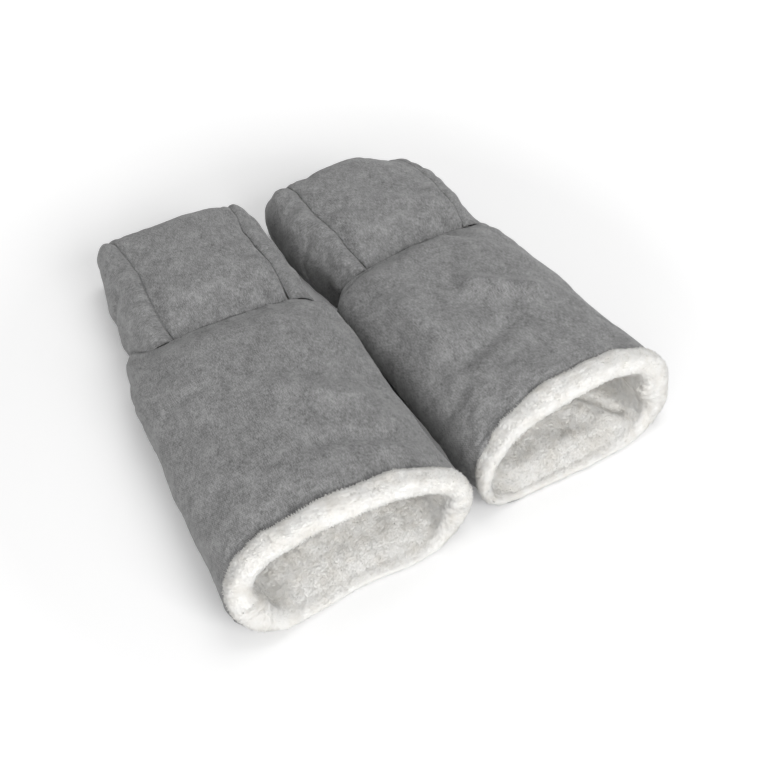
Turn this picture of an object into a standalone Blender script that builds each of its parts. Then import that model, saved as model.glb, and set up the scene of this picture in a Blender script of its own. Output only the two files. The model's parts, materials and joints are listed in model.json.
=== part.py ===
"""Pair of padded hand muffs for a stroller handlebar.

Each muff is a flat-bottomed padded tube with a plush-lined mouth at one end and a
narrower boxed cap at the other. The bar runs crosswise through the soft slits at the
neck, and a flap under the cap opens so that the muff can be wrapped round the bar.

Lengths are in metres. A muff is built in its own frame: its origin is on the floor
under the middle of the mouth's hem, +X runs across it, +Y towards the cap, +Z up.
"""

import math

import bmesh
import bpy
from mathutils import Matrix, Vector

# Body, the tube that takes the hand
BODY_LENGTH = 0.227
MOUTH_WIDTH = 0.184
MOUTH_HEIGHT = 0.075
PALM_WIDTH = 0.180
PALM_HEIGHT = 0.071
SHOULDER_WIDTH = 0.176
SHOULDER_HEIGHT = 0.071
DRAWN_WIDTH = 0.169
NECK_WIDTH = 0.146
NECK_HEIGHT = 0.0615
MOUTH_SLOPE = 0.25
BODY_ROUNDNESS = 2.3
NECK_ROUNDNESS = 3.0
palm_share = 0.5
shoulder_share = 0.82
drawn_share = 0.94
waist_height_share = 0.41
floor_width_share = 0.6
seam_turn_share = 1.26

# Cap, the boxed end beyond the bar
CAP_LENGTH = 0.151
CAP_WIDTH = 0.102
CAP_END_WIDTH = 0.108
CAP_HEIGHT = 0.057
CAP_MIDDLE_HEIGHT = 0.0653
CAP_END_HEIGHT = 0.052
CAP_CROWN = 0.0045
NOSE_LENGTH = 0.050
NOSE_ROUNDNESS = 3.0
NOSE_TURN = math.radians(60)
GUSSET_BULGE = 0.014
GUSSET_MIDDLE_BULGE = 0.025
GUSSET_END_BULGE = 0.014
GUSSET_ROUNDNESS = 2.3
gusset_full_share = 0.45
corner_lean_share = 0.3

# Layers of the wall, from the outside in
SHELL = 0.0012
WADDING = 0.004
PLUSH = 0.007
LAYER_GAP = 0.0004
SEAM_GAP = 0.0004

# Plush cuff round the mouth
CUFF_RADIUS = 0.0095
CUFF_DEPTH = 0.0085

# Slit at each side of the neck, and the elastic that draws it in
SLIT_WIDTH = 0.014
ELASTIC_THICKNESS = 0.001
elastic_start_share = 0.2
elastic_end_share = 0.8

# Flap under the cap, with the tab that snaps to the body
FLAP_GAP = 0.0005
FLAP_FRONT_GAP = 0.0015
FLAP_RAMP = 0.025
TAB_LENGTH = 0.030
TAB_WIDTH = 0.070
TAB_SHOULDER = 0.002
TAB_END_WIDTH = 0.060
NECK_RAMP = 0.014

# Press studs
STUD_SPACING = 0.040
STUD_RADIUS = 0.006
STUD_RIM = 0.0005
STUD_CLEARANCE = 0.0003
FLOOR_GAP = 0.0002
HEAD_THICKNESS = 0.001
SOCKET_THICKNESS = 0.0016
SOCKET_FLOOR = 0.0004
SOCKET_BORE = 0.0026
NUB_RADIUS = 0.0022
FLANGE_THICKNESS = 0.0006
RING_THICKNESS = 0.0008
POST_RADIUS = 0.0014
POST_HOLE_RADIUS = 0.0018
CUT_OVERRUN = 0.002

# How the two muffs lie beside each other
PAIR_GAP = 0.0006
TOE_IN = math.radians(3.03)

# Facets of the curved pieces
TOP_COLUMNS = 14
FLOOR_CORNER_COLUMNS = 3
FLOOR_FLAT_COLUMNS = 4
BODY_ROWS = 5
CUFF_POINTS = 40
CUFF_SIDES_RESOLUTION = 2
CAP_COLUMNS = 6
CAP_RUN_STEPS = 4
NOSE_STEPS = 3
FAR_STEPS = 5
FLAP_COLUMNS = 5
FLAP_ROWS = 4
STUD_STEPS = 16
MERGE_DISTANCE = 0.00001
SMOOTH_ANGLE = math.radians(40)

# Heights that the press studs stack up to, from the floor
TAB_LIFT = FLOOR_GAP + HEAD_THICKNESS + STUD_CLEARANCE
SOCKET_LIFT = TAB_LIFT + SHELL + STUD_CLEARANCE
FLANGE_LIFT = SOCKET_LIFT + SOCKET_THICKNESS + STUD_CLEARANCE
NECK_LIFT = FLANGE_LIFT + FLANGE_THICKNESS + STUD_CLEARANCE
RING_LIFT = NECK_LIFT + SHELL + STUD_CLEARANCE

# Depths of the layers below the outer face
WADDING_DEPTH = SHELL + LAYER_GAP
PLUSH_DEPTH = WADDING_DEPTH + WADDING + LAYER_GAP
WALL = PLUSH_DEPTH + PLUSH
NECK_PLUSH_DEPTH = SHELL + STUD_CLEARANCE + RING_THICKNESS + LAYER_GAP
SHELL_LAYER = (0, SHELL)
WADDING_LAYER = (WADDING_DEPTH, WADDING_DEPTH + WADDING)
PLUSH_LAYER = (PLUSH_DEPTH, WALL)

# Places along a muff
CAP_START = BODY_LENGTH + SEAM_GAP
CAP_END = BODY_LENGTH + CAP_LENGTH
NOSE_START = CAP_END - NOSE_LENGTH
FLAP_START = BODY_LENGTH + FLAP_FRONT_GAP
HINGE_PLACE = Vector((0, CAP_END, 0))
STUD_PLACE = BODY_LENGTH - TAB_LENGTH / 2

BODY_WIDTHS = (
    (0, MOUTH_WIDTH),
    (palm_share, PALM_WIDTH),
    (shoulder_share, SHOULDER_WIDTH),
    (drawn_share, DRAWN_WIDTH),
    (1, NECK_WIDTH),
)
BODY_HEIGHTS = (
    (0, MOUTH_HEIGHT),
    (palm_share, PALM_HEIGHT),
    (shoulder_share, SHOULDER_HEIGHT),
    (1, NECK_HEIGHT),
)

# Colour as linear RGB, roughness and metallic value
MATERIALS = {
    "grey_melange_fabric": ((0.205, 0.207, 0.212, 1), 0.92, 0),
    "white_plush": ((0.88, 0.86, 0.83, 1), 0.95, 0),
    "wadding": ((0.80, 0.80, 0.78, 1), 0.95, 0),
    "elastic": ((0.06, 0.06, 0.065, 1), 0.8, 0),
    "stud_metal": ((0.30, 0.30, 0.31, 1), 0.35, 1),
}


def between(start, end, share):
    """The value at a share of the way from start to end."""
    return start + (end - start) * share


def smooth_through(knots, share):
    """The value at share of a smooth curve through (share, value) knots."""
    index = 0
    while index < len(knots) - 2 and share > knots[index + 1][0]:
        index += 1
    start, value = knots[index]
    end, next_value = knots[index + 1]
    before = knots[max(index - 1, 0)]
    after = knots[min(index + 2, len(knots) - 1)]
    run = end - start
    slope = (next_value - before[1]) / (end - before[0]) * run
    next_slope = (after[1] - value) / (after[0] - start) * run
    step = (share - start) / run
    return (
        value * (2 * step**3 - 3 * step**2 + 1)
        + slope * (step**3 - 2 * step**2 + step)
        + next_value * (3 * step**2 - 2 * step**3)
        + next_slope * (step**3 - step**2)
    )


def through_three(start, middle, end, share):
    """The value at share of the parabola through a start, a middle and an end."""
    near = (2 * share - 1) * (share - 1) * start
    centre = 4 * share * (1 - share) * middle
    far = share * (2 * share - 1) * end
    return near + centre + far


def round_off(share, roundness):
    """1 at share 0, falling to 0 at share 1 as a superellipse does."""
    return max(0, 1 - abs(share) ** roundness) ** (1 / roundness)


# Body

def body_stops():
    """Lengths from the mouth at which the body's rows lie."""
    ramp_start = BODY_LENGTH - TAB_LENGTH - NECK_RAMP
    stops = [ramp_start * row / BODY_ROWS for row in range(BODY_ROWS + 1)]
    drawn = BODY_LENGTH * drawn_share
    return stops + [BODY_LENGTH - TAB_LENGTH, drawn, (drawn + BODY_LENGTH) / 2, BODY_LENGTH]


BODY_STOPS = body_stops()
RAMP_ROW = BODY_ROWS
NECK_ROW = len(BODY_STOPS) - 1


def body_lift(row):
    """Height of the body's floor at a row: it clears the tab near the neck."""
    return 0 if row <= RAMP_ROW else NECK_LIFT


def body_wall(turn, row, depth):
    """A point of the body's wall at a row, at a depth below its outer face.

    turn is 0 at the top, 1 at the widest place, 2 where the flat floor starts and 3 in
    the floor's middle. Its sign gives the side.
    """
    along = BODY_STOPS[row]
    share = along / BODY_LENGTH
    outer_half = smooth_through(BODY_WIDTHS, share) / 2
    height = smooth_through(BODY_HEIGHTS, share)
    roundness = between(BODY_ROUNDNESS, NECK_ROUNDNESS, share)
    half = outer_half - depth
    floor_half = outer_half * floor_width_share
    floor = body_lift(row) + depth
    waist = height * waist_height_share
    side = math.copysign(1, turn)
    turn = abs(turn)
    if turn <= 1:
        angle = turn * math.pi / 2
        x = half * math.sin(angle) ** (2 / roundness)
        z = waist + (height - depth - waist) * abs(math.cos(angle)) ** (2 / roundness)
    elif turn <= 2:
        angle = (turn - 1) * math.pi / 2
        x = between(floor_half, half, math.cos(angle))
        z = between(waist, floor, math.sin(angle))
    else:
        x = floor_half * (3 - turn)
        z = floor
    return Vector((side * x, along + MOUTH_SLOPE * z * (1 - share) ** 2, z))


def top_turn(column):
    """Turn of a column of the upper panel, from one side seam to the other."""
    return between(-seam_turn_share, seam_turn_share, column / TOP_COLUMNS)


def floor_turn(column):
    """Turn of a column of the under panel, from the right side seam to the left."""
    half_columns = FLOOR_CORNER_COLUMNS + FLOOR_FLAT_COLUMNS // 2
    steps = min(column, 2 * half_columns - column)
    if steps <= FLOOR_CORNER_COLUMNS:
        turn = between(seam_turn_share, 2, steps / FLOOR_CORNER_COLUMNS)
    else:
        turn = between(2, 3, (steps - FLOOR_CORNER_COLUMNS) / (FLOOR_FLAT_COLUMNS // 2))
    return turn if column <= half_columns else -turn


def upper_panel(column, row, depth):
    """A point of the body's upper panel, kept off the side seams."""
    point = body_wall(top_turn(column), row, depth)
    if column in (0, TOP_COLUMNS):
        point.z += SEAM_GAP
    return point


def under_panel(column, row, depth):
    """A point of the body's under panel."""
    return body_wall(floor_turn(column), row, depth)


def under_plush(column, row, depth):
    """The under panel's lining, which lies close to the shell where the studs are."""
    thin = PLUSH_DEPTH - NECK_PLUSH_DEPTH if row > RAMP_ROW else 0
    return under_panel(column, row, depth - thin)


def elastic_strip(side):
    """Places of the elastic inside the neck's edge, on one side."""
    def place(column, row, depth):
        share = (elastic_start_share, elastic_end_share)[row]
        turn = side * top_turn(TOP_COLUMNS - 1 - column)
        start = body_wall(turn, NECK_ROW - 1, depth)
        end = body_wall(turn, NECK_ROW, depth)
        return start.lerp(end, share)
    return place


# Cap

def cap_edge_height(along):
    """Height of the cap panel's side seams."""
    share = (along - BODY_LENGTH) / CAP_LENGTH
    return through_three(CAP_HEIGHT, CAP_MIDDLE_HEIGHT, CAP_END_HEIGHT, share)


def cap_half(along, depth):
    """Half the width of the cap panel, whose seams lean inwards with depth."""
    share = (along - BODY_LENGTH) / CAP_LENGTH
    return between(CAP_WIDTH, CAP_END_WIDTH, share) / 2 - depth * corner_lean_share


def cap_path(stop, depth):
    """(length, height, crown) at a stop along the cap panel, over the nose to the floor."""
    if stop <= CAP_RUN_STEPS:
        along = between(CAP_START, NOSE_START, stop / CAP_RUN_STEPS)
        return along, cap_edge_height(along) - depth, CAP_CROWN
    nose_stop = stop - CAP_RUN_STEPS
    if nose_stop <= NOSE_STEPS:
        angle = NOSE_TURN * nose_stop / NOSE_STEPS
    else:
        angle = between(NOSE_TURN, math.pi / 2, (nose_stop - NOSE_STEPS) / FAR_STEPS)
    power = 2 / NOSE_ROUNDNESS
    along = NOSE_START + (NOSE_LENGTH - depth) * math.sin(angle) ** power
    drop = abs(math.cos(angle)) ** power
    height = depth + (cap_edge_height(along) - 2 * depth) * drop
    return along, height, CAP_CROWN * math.cos(angle)


def cap_panel(column, row, depth):
    """A point of the cap panel: its top, its nose and its far wall."""
    across = 2 * column / CAP_COLUMNS - 1
    along, height, crown = cap_path(row, depth)
    x = across * (cap_half(along, depth) - SEAM_GAP)
    return Vector((x, along, height + crown * (1 - across**2)))


def gusset_edges(column, row, depth):
    """The four edge points, as (length, height), that a gusset's grid point lies between."""
    top_steps = CAP_RUN_STEPS + NOSE_STEPS
    top = Vector(cap_path(column, depth)[:2])
    far = Vector(cap_path(top_steps + row, depth)[:2])
    run = (top.x - CAP_START) / (cap_path(top_steps, depth)[0] - CAP_START)
    foot = Vector((between(CAP_START, CAP_END - depth, run), depth))
    down = row / FAR_STEPS
    head = Vector(cap_path(0, depth)[:2])
    slit = SLIT_WIDTH * math.sqrt(max(0, math.sin(math.pi * down)))
    front = Vector((CAP_START + slit, between(head.y, depth, down)))
    return top, foot, front, far


def gusset(side):
    """Places of the puffed side panel between the cap panel and the flap."""
    top_steps = CAP_RUN_STEPS + NOSE_STEPS

    def place(column, row, depth):
        across = column / top_steps
        down = row / FAR_STEPS
        top, foot, front, far = gusset_edges(column, row, depth)
        head = Vector(cap_path(0, depth)[:2])
        far_head = Vector(cap_path(top_steps, depth)[:2])
        toe = Vector((CAP_START, depth))
        far_toe = Vector((CAP_END - depth, depth))
        corners = head.lerp(far_head, across).lerp(toe.lerp(far_toe, across), down)
        point = top.lerp(foot, down) + front.lerp(far, across) - corners
        share = (point.x - BODY_LENGTH) / CAP_LENGTH
        bulge = through_three(GUSSET_BULGE, GUSSET_MIDDLE_BULGE, GUSSET_END_BULGE, share)
        fall = max(0, across - gusset_full_share) / (1 - gusset_full_share)
        puff = round_off(2 * down - 1, GUSSET_ROUNDNESS) * round_off(fall, GUSSET_ROUNDNESS)
        swell = (bulge - depth * (1 - corner_lean_share)) * puff
        return Vector((side * (cap_half(point.x, depth) + swell), point.x, point.y))
    return place


# Flap

def flap_lift(along):
    """Height of the flap's outer face: the tab clears the stud heads."""
    ramp = (along - FLAP_START) / FLAP_RAMP
    return TAB_LIFT * min(1, max(0, 1 - ramp))


def flap_sheet(column, along, depth, half):
    """A point of the flap at a length from the mouth and at a depth above its outer face."""
    across = 2 * column / FLAP_COLUMNS - 1
    return Vector((across * half, along, flap_lift(along) + depth))


def flap_row(row, depth):
    """Length from the mouth of a row of the padded flap."""
    if row == 0:
        return FLAP_START
    share = (row - 1) / (FLAP_ROWS - 1)
    return between(FLAP_START + FLAP_RAMP, CAP_END - depth - FLAP_GAP, share)


def flap_panel(column, row, depth):
    """A point of the padded flap between the gussets."""
    along = flap_row(row, depth)
    return flap_sheet(column, along, depth, cap_half(along, depth) - FLAP_GAP)


def flap_shell(column, row, depth):
    """A point of the flap's outer fabric, which runs on as the tab under the neck."""
    tab_rows = (
        (BODY_LENGTH - TAB_LENGTH, TAB_END_WIDTH),
        (BODY_LENGTH - TAB_LENGTH + TAB_WIDTH - TAB_END_WIDTH, TAB_WIDTH),
        (BODY_LENGTH - TAB_SHOULDER, TAB_WIDTH),
    )
    if row < len(tab_rows):
        along, width = tab_rows[row]
        return flap_sheet(column, along, depth, width / 2)
    return flap_panel(column, row - len(tab_rows), depth)


# Making objects

def clear_scene():
    """Removes every object that the file starts with."""
    for thing in list(bpy.data.objects):
        bpy.data.objects.remove(thing, do_unlink=True)


def new_collection(name):
    """A collection linked to the scene."""
    collection = bpy.data.collections.new(name)
    bpy.context.scene.collection.children.link(collection)
    return collection


def new_material(name):
    """A plain material from the table above."""
    colour, roughness, metallic = MATERIALS[name]
    material = bpy.data.materials.new(name)
    material.use_nodes = True
    shader = material.node_tree.nodes["Principled BSDF"]
    shader.inputs["Base Color"].default_value = colour
    shader.inputs["Roughness"].default_value = roughness
    shader.inputs["Metallic"].default_value = metallic
    material.diffuse_color = colour
    return material


def new_empty(name, parent, place, turn, collection):
    """An empty that carries pieces, at a place and turned about its own Z."""
    empty = bpy.data.objects.new(name, None)
    collection.objects.link(empty)
    empty.parent = parent
    empty.location = place
    empty.rotation_euler = (0, 0, turn)
    return empty


def finish_mesh(shape, name):
    """A mesh from a bmesh, with its normals out and its round faces shaded smooth."""
    bmesh.ops.recalc_face_normals(shape, faces=shape.faces[:])
    if shape.calc_volume(signed=True) < 0:
        bmesh.ops.reverse_faces(shape, faces=shape.faces[:])
    mesh = bpy.data.meshes.new(name)
    shape.to_mesh(mesh)
    shape.free()
    mesh.shade_smooth()
    mesh.set_sharp_from_angle(angle=SMOOTH_ANGLE)
    return mesh


def slab_mesh(name, columns, rows, place, layer):
    """A closed slab: place(column, row, depth) lays a grid's outer and inner faces."""
    shape = bmesh.new()
    bmesh.ops.create_grid(shape, x_segments=columns, y_segments=rows, size=0.5)
    outer = set(shape.verts)
    bmesh.ops.extrude_face_region(shape, geom=shape.faces[:])
    for vert in shape.verts:
        column = round((vert.co.x + 0.5) * columns)
        row = round((vert.co.y + 0.5) * rows)
        depth = layer[0] if vert in outer else layer[1]
        vert.co = place(column, row, depth)
    return finish_mesh(shape, name)


def turned_mesh(name, profile):
    """An open profile of (radius, height) points, from the axis down to the axis."""
    mesh = bpy.data.meshes.new(name)
    points = [(radius, 0, height) for radius, height in profile]
    mesh.from_pydata(points, [(i, i + 1) for i in range(len(points) - 1)], [])
    return mesh


def cuff_curve(name):
    """A closed curve round the mouth, just in front of the slanted hem."""
    curve = bpy.data.curves.new(name, "CURVE")
    curve.dimensions = "3D"
    curve.bevel_depth = CUFF_RADIUS
    curve.bevel_resolution = CUFF_SIDES_RESOLUTION
    spline = curve.splines.new("POLY")
    spline.points.add(CUFF_POINTS - 1)
    spline.use_cyclic_u = True
    reach = CUFF_RADIUS * math.hypot(1, MOUTH_SLOPE) + SEAM_GAP
    for index, point in enumerate(spline.points):
        turn = between(-3, 3, index / CUFF_POINTS)
        place = body_wall(turn, 0, CUFF_DEPTH)
        height = max(place.z, CUFF_RADIUS)
        point.co = (place.x, MOUTH_SLOPE * height - reach, height, 1)
    return curve


class Muff:
    """One muff: its empties, its pieces and their cutters."""

    def __init__(self, side, centre, turn, collections, materials):
        self.side = side
        self.pieces, self.cutters = collections
        self.materials = materials
        self.frame = new_empty(f"{side}_muff", None, centre, turn, self.pieces)
        self.hinge = new_empty(f"{side}_flap_hinge", self.frame, HINGE_PLACE, 0, self.pieces)

    def add(self, name, data, material, parent):
        """Links a piece's mesh or curve under the muff or its flap."""
        piece = bpy.data.objects.new(f"{self.side}_{name}", data)
        self.pieces.objects.link(piece)
        piece.data.materials.append(self.materials[material])
        piece.parent = parent
        return piece

    def add_slab(self, name, columns, rows, place, layer, material, on_flap=False):
        """Adds a layered panel, whose mesh is shifted where its parent is the hinge."""
        mesh = slab_mesh(f"{self.side}_{name}", columns, rows, place, layer)
        if on_flap:
            mesh.transform(Matrix.Translation(-HINGE_PLACE))
        return self.add(name, mesh, material, self.hinge if on_flap else self.frame)

    def add_turned(self, name, profile, place, on_flap):
        """Adds a turned stud piece, standing at a place of the muff."""
        piece = self.add(name, turned_mesh(name, profile), "stud_metal", self.frame)
        if on_flap:
            piece.parent = self.hinge
            place = place - HINGE_PLACE
        piece.location = place
        screw = piece.modifiers.new("turn", "SCREW")
        screw.axis = "Z"
        screw.angle = 2 * math.pi
        screw.steps = STUD_STEPS
        screw.render_steps = STUD_STEPS
        screw.use_merge_vertices = True
        screw.merge_threshold = MERGE_DISTANCE
        return piece

    def cut_hole(self, piece, place, low, high):
        """Cuts a round hole for a stud's post through a piece."""
        shape = bmesh.new()
        bmesh.ops.create_cone(
            shape, cap_ends=True, segments=STUD_STEPS, radius1=POST_HOLE_RADIUS,
            radius2=POST_HOLE_RADIUS, depth=high - low + 2 * CUT_OVERRUN)
        name = f"{piece.name}_hole_cutter"
        cutter = bpy.data.objects.new(name, finish_mesh(shape, name))
        self.cutters.objects.link(cutter)
        cutter.parent = self.frame
        cutter.location = (place.x, place.y, (low + high) / 2)
        cutter.hide_render = True
        cutter.display_type = "WIRE"
        cut = piece.modifiers.new("stud_hole", "BOOLEAN")
        cut.operation = "DIFFERENCE"
        cut.solver = "EXACT"
        cut.object = cutter

    def build_body(self):
        """The body's shells, wadding, lining and cuff."""
        floor_columns = 2 * FLOOR_CORNER_COLUMNS + FLOOR_FLAT_COLUMNS
        self.add_slab("body_top_shell", TOP_COLUMNS, NECK_ROW, upper_panel, SHELL_LAYER,
                      "grey_melange_fabric")
        self.under_shell = self.add_slab("body_under_shell", floor_columns, NECK_ROW,
                                         under_panel, SHELL_LAYER, "grey_melange_fabric")
        self.add_slab("body_top_wadding", TOP_COLUMNS, NECK_ROW - 2, upper_panel,
                      WADDING_LAYER, "wadding")
        self.add_slab("body_under_wadding", floor_columns, RAMP_ROW, under_panel,
                      WADDING_LAYER, "wadding")
        self.add_slab("body_top_plush", TOP_COLUMNS, NECK_ROW, upper_panel, PLUSH_LAYER,
                      "white_plush")
        self.add_slab("body_under_plush", floor_columns, NECK_ROW, under_plush, PLUSH_LAYER,
                      "white_plush")
        self.add("mouth_cuff", cuff_curve(f"{self.side}_mouth_cuff"), "white_plush", self.frame)
        elastic_layer = (WADDING_DEPTH, WADDING_DEPTH + ELASTIC_THICKNESS)
        for hand, side in (("left", -1), ("right", 1)):
            self.add_slab(f"neck_elastic_{hand}", TOP_COLUMNS // 4, 1, elastic_strip(side),
                          elastic_layer, "elastic")

    def build_cap(self):
        """The cap's panel and its two gussets, each with wadding and lining."""
        layers = (
            ("shell", SHELL_LAYER, "grey_melange_fabric"),
            ("wadding", WADDING_LAYER, "wadding"),
            ("plush", PLUSH_LAYER, "white_plush"),
        )
        top_steps = CAP_RUN_STEPS + NOSE_STEPS
        for layer_name, layer, material in layers:
            self.add_slab(f"cap_{layer_name}", CAP_COLUMNS, top_steps + FAR_STEPS, cap_panel,
                          layer, material)
            for hand, side in (("left", -1), ("right", 1)):
                self.add_slab(f"gusset_{hand}_{layer_name}", top_steps, FAR_STEPS,
                              gusset(side), layer, material)

    def build_flap(self):
        """The flap's shell with its tab, its wadding and its lining."""
        self.flap = self.add_slab("flap_shell", FLAP_COLUMNS, FLAP_ROWS + 3, flap_shell,
                                  SHELL_LAYER, "grey_melange_fabric", on_flap=True)
        self.add_slab("flap_wadding", FLAP_COLUMNS, FLAP_ROWS, flap_panel, WADDING_LAYER,
                      "wadding", on_flap=True)
        self.add_slab("flap_plush", FLAP_COLUMNS, FLAP_ROWS, flap_panel, PLUSH_LAYER,
                      "white_plush", on_flap=True)

    def build_studs(self):
        """Two press studs: cap and socket on the tab, stud and post on the body."""
        rim = STUD_RADIUS - STUD_RIM
        cap = (
            (0, TAB_LIFT + SHELL), (POST_RADIUS, TAB_LIFT + SHELL),
            (POST_RADIUS, FLOOR_GAP + HEAD_THICKNESS), (rim, FLOOR_GAP + HEAD_THICKNESS),
            (STUD_RADIUS, FLOOR_GAP + HEAD_THICKNESS - STUD_RIM), (rim, FLOOR_GAP),
            (0, FLOOR_GAP),
        )
        socket_top = SOCKET_LIFT + SOCKET_THICKNESS
        socket = (
            (0, SOCKET_LIFT + SOCKET_FLOOR), (SOCKET_BORE, SOCKET_LIFT + SOCKET_FLOOR),
            (SOCKET_BORE, socket_top), (rim, socket_top),
            (STUD_RADIUS, socket_top - STUD_RIM), (STUD_RADIUS, SOCKET_LIFT),
            (0, SOCKET_LIFT),
        )
        flange_top = FLANGE_LIFT + FLANGE_THICKNESS
        nub_foot = SOCKET_LIFT + SOCKET_FLOOR + STUD_CLEARANCE
        stud = (
            (0, flange_top), (STUD_RADIUS, flange_top), (STUD_RADIUS, FLANGE_LIFT),
            (NUB_RADIUS, FLANGE_LIFT), (NUB_RADIUS, nub_foot), (0, nub_foot),
        )
        ring_top = RING_LIFT + RING_THICKNESS
        post = (
            (0, ring_top), (rim, ring_top), (STUD_RADIUS, RING_LIFT),
            (POST_RADIUS, RING_LIFT), (POST_RADIUS, flange_top + STUD_CLEARANCE),
            (0, flange_top + STUD_CLEARANCE),
        )
        for hand, side in (("left", -1), ("right", 1)):
            place = Vector((side * STUD_SPACING / 2, STUD_PLACE, 0))
            self.add_turned(f"snap_{hand}_cap", cap, place, True)
            self.add_turned(f"snap_{hand}_socket", socket, place, True)
            self.add_turned(f"snap_{hand}_stud", stud, place, False)
            self.add_turned(f"snap_{hand}_post", post, place, False)
            self.cut_hole(self.flap, place, TAB_LIFT, TAB_LIFT + SHELL)
            self.cut_hole(self.under_shell, place, NECK_LIFT, NECK_LIFT + SHELL)

    def build(self):
        """Builds the whole muff."""
        self.build_body()
        self.build_cap()
        self.build_flap()
        self.build_studs()


def pair_half_spacing():
    """Half the distance between the mouths that lets the toed-in sides just clear."""
    sides = [(0, MOUTH_WIDTH / 2 - CUFF_DEPTH + CUFF_RADIUS)]
    for along in BODY_STOPS:
        sides.append((along, smooth_through(BODY_WIDTHS, along / BODY_LENGTH) / 2))
    for along, bulge in (
        (BODY_LENGTH, GUSSET_BULGE),
        (BODY_LENGTH + CAP_LENGTH / 2, GUSSET_MIDDLE_BULGE),
        (CAP_END, GUSSET_END_BULGE),
    ):
        sides.append((along, cap_half(along, 0) + bulge))
    reach = max(half / math.cos(TOE_IN) + along * math.tan(TOE_IN) for along, half in sides)
    return reach + PAIR_GAP / 2


def centre_pair(frames, pieces):
    """Shifts both muffs so that the pair's box is centred over the origin."""
    bpy.context.view_layer.update()
    sight = bpy.context.evaluated_depsgraph_get()
    points = []
    for piece in pieces.objects:
        if piece.type in {"MESH", "CURVE"}:
            seen = piece.evaluated_get(sight)
            points += [seen.matrix_world @ vert.co for vert in seen.to_mesh().vertices]
            seen.to_mesh_clear()
    for axis in (0, 1):
        places = [point[axis] for point in points]
        middle = (min(places) + max(places)) / 2
        for frame in frames:
            frame.location[axis] -= middle
    bpy.context.view_layer.update()


def main():
    """Builds the left and the right muff, toed in towards their caps."""
    clear_scene()
    collections = (new_collection("stroller_hand_muffs"), new_collection("cutters"))
    materials = {name: new_material(name) for name in MATERIALS}
    spacing = pair_half_spacing()
    left = Muff("left", (-spacing, 0, 0), -TOE_IN, collections, materials)
    right = Muff("right", (spacing, 0, 0), TOE_IN, collections, materials)
    left.build()
    right.build()
    centre_pair((left.frame, right.frame), collections[0])
    for muff in (left, right):
        place = muff.hinge.matrix_world.translation
        print(muff.hinge.name, [round(value, 6) for value in place])


main()
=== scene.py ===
"""The looks of a pair of padded stroller hand muffs, modelled round their solid parts.

Every length is in metres. A muff is shaped in its own frame, with its origin on the floor
under the middle of its mouth, +X across, +Y towards the cap and +Z up, and is then laid
where its solid parts lie.
"""

import json
import math
import random

import bmesh
import bpy
import numpy as np
from mathutils import Matrix, Vector, noise


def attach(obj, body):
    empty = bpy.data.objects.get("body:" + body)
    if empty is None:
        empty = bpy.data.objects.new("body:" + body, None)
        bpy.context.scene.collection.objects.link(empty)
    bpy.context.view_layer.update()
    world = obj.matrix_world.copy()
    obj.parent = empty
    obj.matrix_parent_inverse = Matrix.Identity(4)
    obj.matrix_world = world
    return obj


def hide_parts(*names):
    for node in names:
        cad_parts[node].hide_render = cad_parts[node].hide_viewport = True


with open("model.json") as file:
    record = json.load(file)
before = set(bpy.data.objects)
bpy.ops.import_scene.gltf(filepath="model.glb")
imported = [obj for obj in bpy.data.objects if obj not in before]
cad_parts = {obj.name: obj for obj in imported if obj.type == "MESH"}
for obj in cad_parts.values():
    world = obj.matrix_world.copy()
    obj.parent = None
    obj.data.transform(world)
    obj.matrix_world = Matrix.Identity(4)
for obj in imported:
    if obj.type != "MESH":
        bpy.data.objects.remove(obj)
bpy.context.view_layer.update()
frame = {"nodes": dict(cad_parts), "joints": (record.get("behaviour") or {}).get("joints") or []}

bl_info = {
    "name": "Stroller hand muffs",
    "version": (1, 0, 0),
    "blender": (4, 5, 0),
    "location": "View3D > Sidebar > Hand muffs",
    "description": "Builds padded twill hand muffs with plush linings",
    "category": "Add Mesh",
}

SIDES = ("left", "right")
HANDS = (("left", -1), ("right", 1))

# The finish that a piece shows, by its material slot in the record
FINISHES = {
    "grey_melange_fabric": "grey_melange_twill",
    "white_plush": "white_plush_pile",
    "wadding": "polyester_wadding",
    "elastic": "braided_elastic",
}

# Sizes of the solid parts, which the soft pieces follow
BODY_LENGTH = 0.227
MOUTH_SLOPE = 0.25
BODY_ROUNDNESS = 2.3
NECK_ROUNDNESS = 3.0
WAIST_HEIGHT_SHARE = 0.41
FLOOR_WIDTH_SHARE = 0.6
SEAM_TURN = 1.26
# Turns from seam to seam of the body's upper panel, and of its lower one, through the floor
TOP_TURNS = (-SEAM_TURN, SEAM_TURN)
UNDER_TURNS = (SEAM_TURN, 6 - SEAM_TURN)
BODY_HEIGHTS = ((0, 0.075), (0.5, 0.071), (0.82, 0.071), (1, 0.0615))
CAP_LENGTH = 0.151
CAP_WIDTHS = (0.102, 0.108)
CAP_HEIGHTS = (0.057, 0.0653, 0.055)
CAP_CROWN = 0.0045
NOSE_LENGTH = 0.050
NOSE_ROUNDNESS = 3.0
NOSE_TURN = math.radians(60)
GUSSET_ROUNDNESS = 2.3
GUSSET_FULL_SHARE = 0.45
CORNER_LEAN_SHARE = 0.3
SLIT_WIDTH = 0.014
TAB_LENGTH = 0.030
TAB_WIDTHS = (0.060, 0.070)
NECK_RAMP = 0.014
NECK_LIFT = 0.0058
TAB_LIFT = 0.0015
FLAP_RAMP = 0.025
FLAP_GAP = 0.0005
CAP_END = BODY_LENGTH + CAP_LENGTH
NOSE_START = CAP_END - NOSE_LENGTH

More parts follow.
